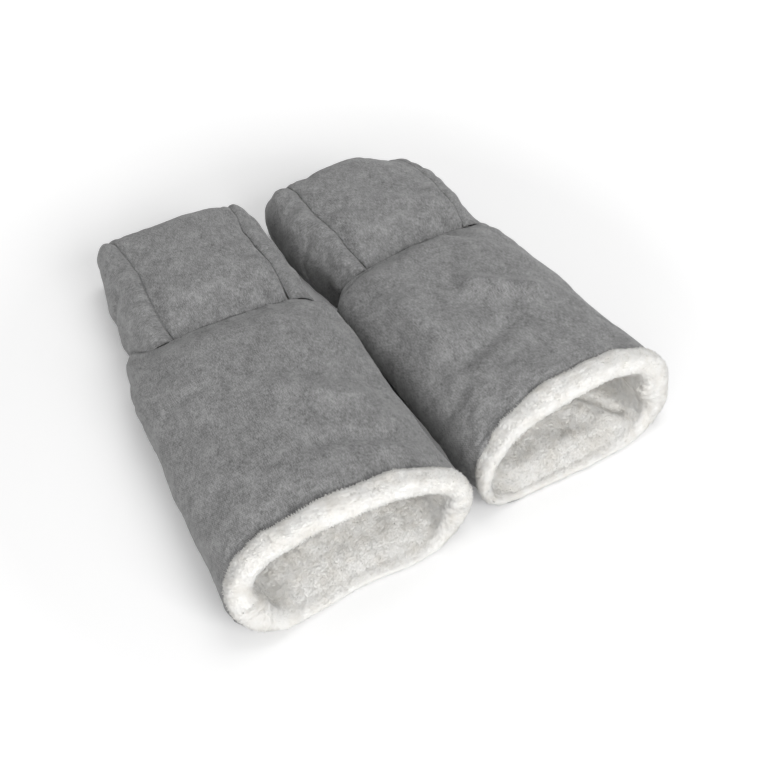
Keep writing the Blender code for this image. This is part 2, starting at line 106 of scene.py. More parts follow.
# Half widths of the body by share, towards the other muff and away from it
INNER_HALVES = ((0, 0.092), (0.5, 0.090), (0.82, 0.0885), (0.94, 0.086), (1, 0.077))
OUTER_HALVES = {
    "left": ((0, 0.0950), (0.5, 0.0940), (0.82, 0.0920), (0.93, 0.0900), (0.97, 0.0880),
             (1, 0.081)),
    "right": ((0, 0.092), (0.5, 0.0915), (0.82, 0.0890), (0.93, 0.0875), (0.97, 0.0860),
              (1, 0.080)),
}
# How far the shoulder beside the neck leans over the gusset
NECK_WING = 0.020
# Bulges of the gussets near the neck, in their middle and at their far end
INNER_BULGES = {"left": (0.014, 0.023, 0.006), "right": (0.016, 0.025, 0.019)}
OUTER_BULGES = {"left": (0.024, 0.024, 0.011), "right": (0.017, 0.019, 0.003)}
GUSSET_FAR_ROUNDNESS = 4.5
GUSSET_LOW_ROUNDNESS = 5.0
# Where the bar's slit in a gusset starts, as a share of the way down
SLIT_TOP = 0.32

# How far a cap's side seams stray: distance from the neck, then outwards and up
SEAM_STRAYS = {
    ("left", -1): ((0, -0.0040, 0), (0.013, -0.0018, 0), (0.044, -0.0012, 0), (0.07, -0.0028, 0),
                   (0.10, -0.0023, 0), (0.136, 0.0014, 0), (0.159, 0.0060, 0), (0.195, 0.003, 0)),
    ("left", 1): ((0, 0.0029, 0), (0.045, 0.0030, 0), (0.073, -0.0010, 0), (0.095, -0.0022, 0),
                  (0.12, -0.0003, 0), (0.195, 0, 0)),
    ("right", -1): ((0, -0.0030, 0), (0.025, -0.0009, 0), (0.052, -0.0023, 0), (0.08, -0.0006, 0),
                    (0.105, -0.0026, 0), (0.13, -0.0050, 0), (0.155, -0.0080, 0),
                    (0.195, -0.003, 0)),
    ("right", 1): ((0, 0.0020, 0), (0.03, 0.0095, -0.003), (0.10, 0.0125, -0.008),
                   (0.145, 0.0040, -0.016), (0.195, 0.002, 0)),
}
SEAM_STRAY_REACH = 0.018
# How much fuller the nose is, along and up
NOSE_LIFTS = {"left": (0.003, 0.003), "right": (0.0005, 0.0035)}

# Folds: from x and y, to x and y, then width and height, which is below 0 for a valley
BODY_FOLDS = {
    "left": ((0.000, 0.128, 0.045, 0.098, 0.010, 0.0046),
             (-0.078, 0.153, -0.050, 0.155, 0.005, -0.0020),
             (0.005, 0.068, 0.070, 0.050, 0.007, -0.0036)),
    "right": ((0.000, 0.146, 0.037, 0.115, 0.010, 0.0078),
              (-0.058, 0.155, -0.055, 0.115, 0.010, 0.0056),
              (-0.050, 0.088, -0.005, 0.098, 0.009, -0.0052),
              (-0.085, 0.060, -0.060, 0.070, 0.005, -0.0020),
              (-0.050, 0.205, 0.020, 0.213, 0.009, 0.0030)),
}
CAP_FOLDS = {
    "left": ((-0.020, 0.262, 0.030, 0.270, 0.012, 0.0010),),
    "right": ((-0.007, 0.285, 0.048, 0.258, 0.006, 0.0014),
              (-0.044, 0.306, -0.034, 0.292, 0.005, -0.0018),
              (-0.046, 0.286, -0.030, 0.280, 0.006, 0.0014)),
}
LINING_FOLDS = {
    "left": ((-0.050, 0.030, 0.030, 0.045, 0.012, 0.0020),),
    "right": ((0.038, 0.046, 0.053, 0.015, 0.0045, -0.0036),
              (0.067, 0.045, 0.072, 0.025, 0.0040, -0.0016),
              (0.026, 0.040, 0.040, 0.012, 0.0080, 0.0012)),
}

# By turn round the mouth: how far the cover's hem lies back, where the plush roll ends in
# front, and half its thickness
HEM_BACK = {
    "left": ((-3, 0), (-2.3, -0.001), (-1.8, -0.006), (-1.2, -0.006), (-0.8, -0.002), (-0.4, 0),
             (3, 0)),
    "right": ((-3, 0), (-1.6, 0), (-1, 0), (-0.5, 0.006), (0, 0.010), (0.5, 0.009), (1, 0.007),
              (1.6, 0.001), (3, 0)),
}
ROLL_FRONT = {
    "left": ((-3, -0.0095), (-2.3, -0.0150), (-1.8, -0.0205), (-1.3, -0.0165), (-0.8, -0.0105),
             (0, -0.0110), (0.6, -0.0110), (1, -0.0070), (1.3, -0.0040), (1.7, -0.0080),
             (2.3, -0.0110), (3, -0.0095)),
    "right": ((-3, -0.0080), (-2.3, -0.0040), (-1.7, -0.0012), (-1.2, -0.0030), (-0.7, -0.0050),
              (0, -0.0022), (0.6, -0.0022), (1, -0.0022), (1.7, -0.0060), (2.3, -0.0090),
              (3, -0.0080)),
}
ROLL_HALF_THICK = {
    "left": ((-3, 0.0028), (-2.2, 0.0034), (-1.8, 0.0070), (-1.4, 0.0105), (-1, 0.0100),
             (-0.6, 0.0074), (0, 0.0066), (0.6, 0.0068), (0.9, 0.0082), (1.2, 0.0098),
             (1.6, 0.0075), (2, 0.0036), (3, 0.0028)),
    "right": ((-3, 0.0028), (-2, 0.0028), (-1.5, 0.0032), (-1, 0.0038), (-0.6, 0.0048),
              (0, 0.0062), (0.45, 0.0072), (0.75, 0.0105), (1.05, 0.0148), (1.4, 0.0138),
              (1.8, 0.0070), (2.2, 0.0036), (3, 0.0028)),
}
# How far the roll's back lies over the hem, and how far its crest stands over the cover
ROLL_OVERLAP = 0.0055
ROLL_PROUD = {
    "left": ((-3, 0), (-2.2, -0.0010), (-1.7, -0.0036), (-1.1, -0.0032), (-0.7, 0.0002),
             (-0.4, 0.0013), (3, 0.0013)),
    "right": ((-3, 0.0013), (3, 0.0013)),
}
# Powers that square the roll's section, across and along, and its size under the lower lip
ROLL_POWERS = (0.62, 0.75)
LOW_ROLL_SHARES = (0.62, 0.8)
# Turns between which the wall of the mouth goes over from its side to its lower lip
LOW_TURNS = (1.3, 2.0)
# Runs over which the lining rises from the roll to its full depth, at the top and the side
LINING_RISES = (0.022, 0.050)
# Length of the lining's run over the mouth's lower lip
LIP_RUN = 0.013

# Layers of the wall, as depths below its outer face
SHELL = 0.0012
WADDING_LAYER = (0.0050, 0.0078)
FLAP_WADDING_LAYER = (0.0018, 0.0060)
LINING_LAYER = (0.0064, 0.0115)
NECK_LINING_DEPTH = 0.0035
LINING_END = 0.985

# How far the covers are sunk at the neck, in a seam and beside it
BODY_NECK_SINK = 0.0014
CAP_NECK_SINK = 0.0034
SEAM_SINK = 0.0020
SEAM_DRAW = 0.0008
# Distances from a seam over which that fades, from its folded edge outwards
SEAM_FOLD = 0.0012
SEWN_REACH = 0.004
SEAM_ROUND = 0.0050
SEAM_NEAR = 0.012
# Half the width over which the cap is sewn to the body, and the depth of the body's sides
SEWN_HALF = 0.062
SIDE_DEPTH = 0.0006

# Size of a mesh cell on the body, and on the cap across and along
CELL = 0.003
CAP_CELLS = (0.0024, 0.0026)
BODY_COVER_WIDTH = 0.246
# Points that a form's line is worked out at, and points that a panel's row is laid from
SAMPLES = 160
ROW_POINTS = 1025
COVER_ROW_POINTS = 2049
# Thickness of the linings' backing, length of their pile as a share, and seeds of the tufts
BACKING = 0.0035
FLAP_BACKING = 0.0025
LINING_PILE_SHARE = 0.62
ROLL_SEEDS = {"left": 11, "right": 12}
LINING_SEED = 20
FLAP_SEED = 40

# The fabric as cloth, which settles over these frames
SETTLE_FRAMES = 20
CLOTH = {
    "quality": 6, "mass": 0.05, "tension_stiffness": 12, "compression_stiffness": 12,
    "shear_stiffness": 4, "bending_stiffness": 0.12, "vertex_group_mass": "sewn",
    "use_pressure": True,
}

# Each lamp's place, what it looks at, and its size; then what the camera looks at
LAMPS = {
    "key": ((0.85, 0.75, 2.85), (0, 0, 0), (1.8, 1.8)),
    "front": ((0.5, -2.55, 1.75), (0, -0.1, 0.03), (1.8, 1.4)),
    "low": ((-1.75, -1.90, 0.66), (-0.05, -0.1, 0.03), (1.6, 0.9)),
}
CAMERA_TARGET = (-0.00261, -0.05494, 0.0288)


class HandMuffPadding(bpy.types.PropertyGroup):
    """How full the padded walls are."""

    pressure: bpy.props.FloatProperty(
        name="Pressure", description="Push of the wadding on the fabric", default=4.0)
    slack: bpy.props.FloatProperty(
        name="Slack", description="Share by which the fabric is cut too large", default=0.035)
    most_puff: bpy.props.FloatProperty(
        name="Most puff", description="Furthest that the fabric may settle", default=0.006,
        unit="LENGTH")
    start_depth: bpy.props.FloatProperty(
        name="Start depth", description="Depth that the fabric settles from", default=0.002,
        unit="LENGTH")
    give: bpy.props.FloatProperty(
        name="Give", description="Share of an inward move that the wadding lets through",
        default=0.25, subtype="FACTOR")


class HandMuffFabric(bpy.types.PropertyGroup):
    """The grey melange twill of the outside."""

    light: bpy.props.StringProperty(
        name="Light thread", description="Hex colour of the light threads", default="#A8A8A8")
    dark: bpy.props.StringProperty(
        name="Dark thread", description="Hex colour of the dark threads", default="#606060")
    pitch: bpy.props.FloatProperty(
        name="Twill pitch", description="Distance between two twill lines", default=0.0013,
        unit="LENGTH")


class HandMuffPlush(bpy.types.PropertyGroup):
    """The white plush of the cuff and the lining."""

    tip: bpy.props.StringProperty(
        name="Pile tips", description="Hex colour of the tips", default="#FBFAF7")
    # The darker pile colour is painted shade, standing for the shade deep among the tufts
    root: bpy.props.StringProperty(
        name="Pile roots", description="Hex colour near the backing", default="#F2EFE9")
    length: bpy.props.FloatProperty(
        name="Pile length", description="Length of a tuft", default=0.0013, unit="LENGTH")
    clump: bpy.props.FloatProperty(
        name="Clump size", description="Distance over which tufts lean alike", default=0.006,
        unit="LENGTH")


class HandMuffStudio(bpy.types.PropertyGroup):
    """The camera, the floor and the lamps."""

    azimuth: bpy.props.FloatProperty(
        name="Azimuth", description="Camera's turn round the pair",
        default=math.radians(-30.61), subtype="ANGLE")
    elevation: bpy.props.FloatProperty(
        name="Elevation", description="Camera's height as an angle",
        default=math.radians(48.1), subtype="ANGLE")
    distance: bpy.props.FloatProperty(
        name="Distance", description="Camera's distance from its target", default=0.7824,
        unit="LENGTH")
    lens: bpy.props.FloatProperty(
        name="Lens", description="Focal length in millimetres", default=46.6)
    key: bpy.props.FloatProperty(
        name="Key lamp", description="Power of the large soft lamp", default=19.0, unit="POWER")
    sky: bpy.props.FloatProperty(
        name="Sky", description="Strength of the even light from all round", default=0.38)
    front: bpy.props.FloatProperty(
        name="Front lamp", description="Power of the soft lamp before the mouths", default=46.0,
        unit="POWER")
    low: bpy.props.FloatProperty(
        name="Low lamp", description="Power of the low lamp on the front left", default=19.0,
        unit="POWER")


# Shares and curves

def between(start, end, share):
    """The value at a share of the way from start to end."""
    return start + (end - start) * share


def ease(start, end, value):
    """0 before start, 1 after end, and a smooth step between them."""
    share = min(1.0, max(0.0, (value - start) / (end - start)))
    return share * share * (3 - 2 * share)


def bell(distance, width):
    """1 at no distance, falling off as a bell does."""
    return math.exp(-((distance / width) ** 2))


def through_three(values, share):
    """The value at share of the parabola through a start, a middle and an end."""
    start, middle, end = values
    near = (2 * share - 1) * (share - 1) * start
    return near + 4 * share * (1 - share) * middle + share * (2 * share - 1) * end


def round_off(share, roundness):
    """1 at share 0, falling to 0 at share 1 as a superellipse does."""
    return max(0, 1 - abs(share) ** roundness) ** (1 / roundness)


def smooth_through(knots, share):
    """The value at share of a smooth curve through (share, value) knots."""
    index = 0
    while index < len(knots) - 2 and share > knots[index + 1][0]:
        index += 1
    start, value = knots[index]
    end, next_value = knots[index + 1]
    before = knots[max(index - 1, 0)]
    after = knots[min(index + 2, len(knots) - 1)]
    run = end - start
    slope = (next_value - before[1]) / (end - before[0]) * run
    next_slope = (after[1] - value) / (after[0] - start) * run
    step = (share - start) / run
    return (
        value * (2 * step**3 - 3 * step**2 + 1)
        + slope * (step**3 - 2 * step**2 + step)
        + next_value * (3 * step**2 - 2 * step**3)
        + next_slope * (step**3 - step**2)
    )


def distances(line):
    """How far along a line of points each of them lies."""
    return np.concatenate(([0], np.cumsum(np.linalg.norm(np.diff(line, axis=0), axis=1))))


def spread_evenly(points, count):
    """This many points at even shares of the way along a line of points."""
    line = np.array(points, float)
    gone = distances(line)
    wanted = np.linspace(0, 1, count) * gone[-1]
    return np.stack([np.interp(wanted, gone, line[:, axis]) for axis in range(line.shape[1])], 1)


def at_share(line, gone, share):
    """The point at a share of the way along a line, whose points lie this far along it."""
    place = share * gone[-1]
    return np.array([np.interp(place, gone, line[:, axis]) for axis in range(line.shape[1])])


def kept_by_row(make_row):
    """make_row(v), worked out once for each row of a panel."""
    rows = {}

    def row_at(v):
        key = round(v * 10000)
        if key not in rows:
            rows[key] = make_row(v)
        return rows[key]
    return row_at


# Forms of the walls

def body_lift(along):
    """Height of the body's floor, which clears the flap's tab near the neck."""
    ramp = BODY_LENGTH - TAB_LENGTH - NECK_RAMP
    return NECK_LIFT * ease(ramp, ramp + NECK_RAMP, along)


def one_round(turn):
    """A turn past the floor's middle, counted from the body's other side instead."""
    return turn if turn <= 3 else turn - 6


def body_wall(muff, turn, share, depth):
    """A point of the body's wall: turn 0 is its top, 1 its side, 2 to 3 its flat floor."""
    turn = one_round(turn)
    side = math.copysign(1, turn)
    outward = side == muff.sign
    along = BODY_LENGTH * share
    outer_half = smooth_through(OUTER_HALVES[muff.side] if outward else INNER_HALVES, share)
    height = smooth_through(BODY_HEIGHTS, share)
    roundness = between(BODY_ROUNDNESS, NECK_ROUNDNESS, share)
    half = outer_half - depth
    floor_half = outer_half * FLOOR_WIDTH_SHARE
    floor = body_lift(along) + depth
    along += smooth_through(HEM_BACK[muff.side], turn) * (1 - ease(0, 0.22, share))
    waist = height * WAIST_HEIGHT_SHARE
    turn = abs(turn)
    if outward:
        wing = NECK_WING * ease(0.86, 1, share) * ease(0.5, 0.95, turn)
        along += wing * (1 - ease(1.5, 2.2, turn))
    if turn <= 1:
        angle = turn * math.pi / 2
        x = half * math.sin(angle) ** (2 / roundness)
        z = waist + (height - depth - waist) * abs(math.cos(angle)) ** (2 / roundness)
    elif turn <= 2:
        angle = (turn - 1) * math.pi / 2
        x = between(floor_half, half, math.cos(angle))
        z = between(waist, floor, math.sin(angle))
    else:
        x = floor_half * (3 - turn)
        z = floor
    return (side * x, along + MOUTH_SLOPE * z * (1 - share) ** 2, z)


def body_ring(muff, turns, share, depth, count):
    """Points spread evenly round the body's wall, between two turns."""
    steps = np.linspace(*turns, SAMPLES)
    return spread_evenly([body_wall(muff, turn, share, depth) for turn in steps], count)


def cap_half(along, depth):
    """Half the width of the cap panel, whose seams lean inwards with depth."""
    share = (along - BODY_LENGTH) / CAP_LENGTH
    return between(*CAP_WIDTHS, share) / 2 - depth * CORNER_LEAN_SHARE


def cap_line(depth, far):
    """Points (along, height, crown) of the cap's top run and nose, or of its far wall."""
    points = []
    power = 2 / NOSE_ROUNDNESS
    first, last = (NOSE_TURN, math.pi / 2) if far else (0, NOSE_TURN)
    if not far:
        for along in np.linspace(BODY_LENGTH, NOSE_START, SAMPLES)[:-1]:
            share = (along - BODY_LENGTH) / CAP_LENGTH
            points.append((along, through_three(CAP_HEIGHTS, share) - depth, CAP_CROWN))
    for angle in np.linspace(first, last, SAMPLES):
        along = NOSE_START + (NOSE_LENGTH - depth) * math.sin(angle) ** power
        edge = through_three(CAP_HEIGHTS, (along - BODY_LENGTH) / CAP_LENGTH)
        height = depth + (edge - 2 * depth) * abs(math.cos(angle)) ** power
        points.append((along, height, CAP_CROWN * math.cos(angle)))
    return points


class CapForm:
    """The boxed cap at one depth: its top panel and its side gussets."""

    def __init__(self, depth):
        self.depth = depth
        self.run, self.far = (np.array(cap_line(depth, far)) for far in (False, True))
        self.run_steps, self.far_steps = (distances(line[:, :2]) for line in (self.run, self.far))
        self.length = self.run_steps[-1]
        self.drop = self.far_steps[-1]

    def on_run(self, share):
        """A point (along, height, crown) at a share of the top run and nose."""
        return at_share(self.run, self.run_steps, share)

    def on_far(self, share):
        """A point (along, height, crown) at a share of the far wall."""
        return at_share(self.far, self.far_steps, share)

    def top(self, across, share):
        """A point of the cap panel: across is -1 to 1, share runs over both lines."""
        gone = share * (self.length + self.drop)
        if gone <= self.length:
            along, height, crown = self.on_run(gone / self.length)
        else:
            along, height, crown = self.on_far((gone - self.length) / self.drop)
        x = across * cap_half(along, self.depth)
        return (x, along, height + crown * (1 - across**2))

    def side(self, across, down, slit, bulges):
        """A point of a gusset on +X: across runs to the far wall, down to the floor."""
        top = self.on_run(across)[:2]
        head = self.on_run(0)[:2]
        far_head = self.on_run(1)[:2]
        far = self.on_far(down)[:2]
        run = (top[0] - BODY_LENGTH) / (far_head[0] - BODY_LENGTH)
        foot = np.array((between(BODY_LENGTH, CAP_END - self.depth, run), self.depth))
        toe = np.array((BODY_LENGTH, self.depth))
        far_toe = np.array((CAP_END - self.depth, self.depth))
        front = np.array((BODY_LENGTH + slit, between(head[1], self.depth, down)))
        corners = between(between(head, far_head, across), between(toe, far_toe, across), down)
        along, height = between(top, foot, down) + between(front, far, across) - corners
        share = (along - BODY_LENGTH) / CAP_LENGTH
        fall = max(0, across - GUSSET_FULL_SHARE) / (1 - GUSSET_FULL_SHARE)
        roundness = GUSSET_ROUNDNESS if down < 0.5 else GUSSET_LOW_ROUNDNESS
        puff = round_off(2 * down - 1, roundness) * round_off(fall, GUSSET_FAR_ROUNDNESS)
        bulge = through_three(bulges, share) - self.depth * (1 - CORNER_LEAN_SHARE)
        return (cap_half(along, self.depth) + bulge * puff, along, height)


CAP_FORMS = {}


def cap_form(depth):
    """The cap's form at a depth, kept to the nearest twentieth of a millimetre."""
    key = round(depth / 0.00005)
    if key not in CAP_FORMS:
        CAP_FORMS[key] = CapForm(key * 0.00005)
    return CAP_FORMS[key]


# Materials

def linear(colour):
    """A hex sRGB colour as linear RGBA."""
    parts = [int(colour[i:i + 2], 16) / 255 for i in (1, 3, 5)]
    return [c / 12.92 if c <= 0.04045 else ((c + 0.055) / 1.055) ** 2.4 for c in parts] + [1]


def add_node(tree, kind, inputs=(), **settings):
    """Adds a node with its settings, and with values or links on its inputs."""
    node = tree.nodes.new(kind)
    for name, value in settings.items():
        setattr(node, name, value)
    for name, value in dict(inputs).items():
        if isinstance(value, bpy.types.NodeSocket):
            tree.links.new(value, node.inputs[name])
        else:
            node.inputs[name].default_value = value
    return node


def new_material(name):
    """A material and its node tree, which starts empty."""
    material = bpy.data.materials.new(name)
    material.use_nodes = True
    material.node_tree.nodes.clear()
    return material, material.node_tree


def finish_material(material, share, colours, height, bump, values):
    """Ends a material: a share runs between two colours, and a height raises its surface."""
    tree = material.node_tree
    dark, light = colours
    colour = add_node(tree, "ShaderNodeMix", {0: share, 6: linear(dark), 7: linear(light)},
                      data_type="RGBA")
    strength, distance = bump
    raised = add_node(tree, "ShaderNodeBump",
                      {"Strength": strength, "Distance": distance, "Height": height})
    shader = add_node(tree, "ShaderNodeBsdfPrincipled",
                      {"Base Color": colour.outputs[2], "Normal": raised.outputs[0], **values})
    add_node(tree, "ShaderNodeOutputMaterial", {"Surface": shader.outputs[0]})
    return material


def twill_material(fabric):
    """Polyester melange twill: fine diagonal ribs of spun light and dark threads."""
    material, tree = new_material("grey_melange_twill")
    place = add_node(tree, "ShaderNodeTexCoord").outputs["UV"]
    flat = add_node(tree, "ShaderNodeSeparateXYZ", {0: place})

    def flecks(wide, long, detail):
        sized = add_node(tree, "ShaderNodeVectorMath",
                         {0: place, 1: (1 / wide, 1 / long, 1)}, operation="MULTIPLY")
        return add_node(tree, "ShaderNodeTexNoise",
                        {"Vector": sized.outputs[0], "Scale": 1, "Detail": detail,
                         "Roughness": 0.6}, noise_dimensions="2D").outputs["Fac"]

    # A real rib is 0.6 mm wide; it is drawn twice as coarse, so that it shows
    slant = add_node(tree, "ShaderNodeMath", {0: flat.outputs[1], 1: 0.55}, operation="MULTIPLY")
    total = add_node(tree, "ShaderNodeMath", {0: flat.outputs[0], 1: slant.outputs[0]},
                     operation="ADD")
    turned = add_node(tree, "ShaderNodeMath",
                      {0: total.outputs[0], 1: 2 * math.pi / fabric.pitch}, operation="MULTIPLY")
    rib = add_node(tree, "ShaderNodeMath", {0: turned.outputs[0]}, operation="SINE")
    rib = add_node(tree, "ShaderNodeMapRange",
                   {0: rib.outputs[0], 1: -1, 2: 1, 3: 0, 4: 1}).outputs[0]
    warp = flecks(0.0008, 0.0032, 2)
    weft = flecks(0.0030, 0.0009, 2)
    patch = flecks(0.005, 0.007, 3)
    mottle = flecks(0.016, 0.020, 4)

    def added(first, weight, second):
        part = add_node(tree, "ShaderNodeMath", {0: second, 1: weight}, operation="MULTIPLY")
        return add_node(tree, "ShaderNodeMath", {0: first, 1: part.outputs[0]},
                        operation="ADD").outputs[0]

    base = add_node(tree, "ShaderNodeMath", {0: warp, 1: 0.50}, operation="MULTIPLY").outputs[0]
    tone = added(added(added(added(base, 0.25, weft), 0.06, rib), 0.26, mottle), 0.26, patch)
    tone = add_node(tree, "ShaderNodeMapRange", {0: tone, 1: 0.47, 2: 0.87, 3: 0, 4: 1}).outputs[0]
    height = added(added(warp, 0.5, rib), 0.5, weft)
    return finish_material(material, tone, (fabric.dark, fabric.light), height, (0.55, 0.0004),
                           {"Roughness": 0.9, "Specular IOR Level": 0.25, "Sheen Weight": 0.25,
                            "Sheen Roughness": 0.5})


def plush_material(plush):
    """Off-white polyester fleece: soft matt pile that light sinks into, with painted shade in
    random darker clumps.
    """
    material, tree = new_material("white_plush_pile")
    place = add_node(tree, "ShaderNodeTexCoord").outputs["Object"]
    clumps = add_node(tree, "ShaderNodeTexNoise",
                      {"Vector": place, "Scale": 1 / (2 * plush.clump), "Detail": 3,
                       "Roughness": 0.6}).outputs["Fac"]
    share = add_node(tree, "ShaderNodeMapRange", {0: clumps, 1: 0.3, 2: 0.6, 3: 0, 4: 1})
    fine = add_node(tree, "ShaderNodeTexNoise",
                    {"Vector": place, "Scale": 900, "Detail": 2}).outputs["Fac"]
    # Random clumps of the pile's painted-shade colour darken the tip colour
    return finish_material(material, share.outputs[0], (plush.root, plush.tip), fine,
                           (0.3, 0.0005),
                           {"Roughness": 1.0, "Specular IOR Level": 0.1, "Sheen Weight": 0.2,
                            "Sheen Roughness": 0.6})


def wadding_material():
    """Carded polyester wadding: loose white fibre with a dull, woolly surface."""
    material, tree = new_material("polyester_wadding")
    place = add_node(tree, "ShaderNodeTexCoord").outputs["Object"]
    fibres = add_node(tree, "ShaderNodeTexNoise",
                      {"Vector": place, "Scale": 260, "Detail": 6, "Roughness": 0.7,
                       "Distortion": 1.5}).outputs["Fac"]
    return finish_material(material, fibres, ("#D6D6D2", "#F4F4F1"), fibres, (0.6, 0.001),
                           {"Roughness": 1.0})


def elastic_material():
    """Braided black elastic: fine ribs across the band."""
    material, tree = new_material("braided_elastic")
    place = add_node(tree, "ShaderNodeTexCoord").outputs["Object"]
    ribs = add_node(tree, "ShaderNodeTexWave",
                    {"Vector": place, "Scale": 160, "Distortion": 0.4},
                    bands_direction="Y").outputs["Fac"]
    return finish_material(material, ribs, ("#1B1B1D", "#35353A"), ribs, (0.7, 0.0004),
                           {"Roughness": 0.75})


def stud_material():
    """Nickel-plated pressed brass, black-nickel finish: satin, with fine rubbed marks."""
    material, tree = new_material("black_nickel_plating")
    place = add_node(tree, "ShaderNodeTexCoord").outputs["Object"]
    marks = add_node(tree, "ShaderNodeTexNoise",
                     {"Vector": place, "Scale": 700, "Detail": 5,
                      "Roughness": 0.65}).outputs["Fac"]
    rough = add_node(tree, "ShaderNodeMapRange", {0: marks, 1: 0.3, 2: 0.7, 3: 0.26, 4: 0.46})
    return finish_material(material, marks, ("#77777C", "#93939A"), marks, (0.15, 0.0001),
                           {"Metallic": 1.0, "Roughness": rough.outputs[0]})


def seen_directly(tree):
    """1 for rays from the camera and for reflections, 0 for the rays that light a scene."""
    path = add_node(tree, "ShaderNodeLightPath").outputs
    return add_node(tree, "ShaderNodeMath", {0: path["Is Camera Ray"], 1: path["Is Glossy Ray"]},
                    operation="MAXIMUM").outputs[0]


def paper_material():
    """Matt white backdrop paper, which the camera sees as plain white away from the lamps."""
    material, tree = new_material("matt_backdrop_paper")
    eye = seen_directly(tree)
    paper = add_node(tree, "ShaderNodeBsdfDiffuse", {"Color": linear("#E8E8E8")})
    seen = add_node(tree, "ShaderNodeBsdfDiffuse", {"Color": (1, 1, 1, 1)})
    # The paper is lit evenly to the horizon, beyond the reach of the three lamps
    place = add_node(tree, "ShaderNodeTexCoord").outputs["Object"]
    away = add_node(tree, "ShaderNodeVectorMath", {0: place}, operation="LENGTH").outputs["Value"]
    far = add_node(tree, "ShaderNodeMapRange",
                   {"Value": away, "From Min": 0.3, "From Max": 1.2,
                    "To Min": 0.13, "To Max": 1.0}).outputs["Result"]
    glow = add_node(tree, "ShaderNodeEmission", {"Color": (1, 1, 1, 1), "Strength": far})
    lifted = add_node(tree, "ShaderNodeAddShader", {0: seen.outputs[0], 1: glow.outputs[0]})
    mixed = add_node(tree, "ShaderNodeMixShader",
                     {0: eye, 1: paper.outputs[0], 2: lifted.outputs[0]})
    add_node(tree, "ShaderNodeOutputMaterial", {"Surface": mixed.outputs[0]})
    return material


def made_material(name):
    """One of the part's materials, made when it is first asked for."""
    made = bpy.data.materials.get(name)
    if made:
        return made
    scene = bpy.context.scene
    makers = {
        "grey_melange_twill": lambda: twill_material(scene.hand_muff_fabric),
        "white_plush_pile": lambda: plush_material(scene.hand_muff_plush),
        "polyester_wadding": wadding_material,
        "braided_elastic": elastic_material,
        "black_nickel_plating": stud_material,
        "matt_backdrop_paper": paper_material,
    }
    return makers[name]()


# Meshes

def panel_shape(grid, place, flat, flipped=False):
    """A grid as a bmesh, laid by place(u, v), with its flat size in metres on its UV map."""
    shape = bmesh.new()
    bmesh.ops.create_grid(shape, x_segments=grid[0], y_segments=grid[1], size=0.5)
    sewn = shape.loops.layers.uv.new("cut")
    across = shape.verts.layers.float.new("across")
    along = shape.verts.layers.float.new("along")
    for face in shape.faces:
        for loop in face.loops:
            u, v = loop.vert.co.x + 0.5, loop.vert.co.y + 0.5
            loop[sewn].uv = (u * flat[0], v * flat[1])
    for vert in shape.verts:
        u, v = vert.co.x + 0.5, vert.co.y + 0.5
        vert[across] = u
        vert[along] = v
        vert.co = place(u, v)
    if flipped:
        bmesh.ops.reverse_faces(shape, faces=shape.faces[:])
    shape.normal_update()
    return shape


def new_piece(name, shape):
    """An object with a bmesh's mesh, shaded smooth."""
    mesh = bpy.data.meshes.new(name)
    shape.to_mesh(mesh)
    shape.free()
    mesh.shade_smooth()
    piece = bpy.data.objects.new(name, mesh)
    bpy.context.scene.collection.objects.link(piece)
    return piece


def add_panel(muff, name, grid, place, flat, flipped=False):
    """A muff's open panel as an object: its cells, how it is laid, and its flat size."""
    return new_piece(f"{muff.side}_{name}", panel_shape(grid, place, flat, flipped))


def apply_modifiers(piece):
    """Puts the evaluated mesh in the piece's place, without modifiers."""
    sight = bpy.context.evaluated_depsgraph_get()
    mesh = bpy.data.meshes.new_from_object(
        piece.evaluated_get(sight), preserve_all_data_layers=True, depsgraph=sight)
    piece.modifiers.clear()
    piece.data = mesh
    return piece


def subdivide(piece):
    """One smooth subdivision, applied."""
    step = piece.modifiers.new("smooth", "SUBSURF")
    step.levels = step.render_levels = 1
    step.boundary_smooth = "PRESERVE_CORNERS"
    return apply_modifiers(piece)


def coordinates(mesh):
    """A mesh's vertices as an array."""
    values = np.zeros(len(mesh.vertices) * 3)
    mesh.vertices.foreach_get("co", values)
    return values.reshape(-1, 3)


def settle(pieces, padding):
    """Fills panels as wadding does: a cloth simulation between their sewn edges."""
    starts = [coordinates(piece.data) for piece in pieces]
    fronts = [np.array([vert.normal for vert in piece.data.vertices]) for piece in pieces]
    scene = bpy.context.scene
    for piece in pieces:
        cloth = piece.modifiers.new("settle", "CLOTH")
        for name, value in CLOTH.items():
            setattr(cloth.settings, name, value)
        cloth.settings.shrink_min = -padding.slack
        cloth.settings.uniform_pressure_force = padding.pressure
        cloth.settings.effector_weights.gravity = 0
        cloth.collision_settings.use_collision = False
        cloth.point_cache.frame_start = 1
        cloth.point_cache.frame_end = SETTLE_FRAMES
    for step in range(1, SETTLE_FRAMES + 1):
        scene.frame_set(step)
    most = padding.most_puff
    for piece, start, front in zip(pieces, starts, fronts):
        apply_modifiers(piece)
        moved = coordinates(piece.data) - start
        outward = np.sum(moved * front, 1, keepdims=True)
        moved -= front * np.minimum(outward, 0) * (1 - padding.give)
        length = np.linalg.norm(moved, axis=1)
        kept = np.tanh(length / most) * most / np.maximum(length, 1e-9)
        piece.data.vertices.foreach_set("co", (start + moved * kept[:, None]).ravel())
    scene.frame_set(1)


def hold(piece, size):
    """Sews a panel of this flat size down along its edges, and loosely just inside them."""
    group = piece.vertex_groups.new(name="sewn")
    across, along = uv_shares(piece)
    for index, (u, v) in enumerate(zip(across, along)):
        inside = min(min(u, 1 - u) * size[0], min(v, 1 - v) * size[1])
        group.add([index], bell(max(0.0, inside - 0.0004), SEWN_REACH), "REPLACE")


def uv_shares(piece):
    """The shares across and along a panel of each of its points."""
    values = []
    for name in ("across", "along"):
        row = np.zeros(len(piece.data.vertices), np.float32)
        piece.data.attributes[name].data.foreach_get("value", row)
        values.append(row)
    return values


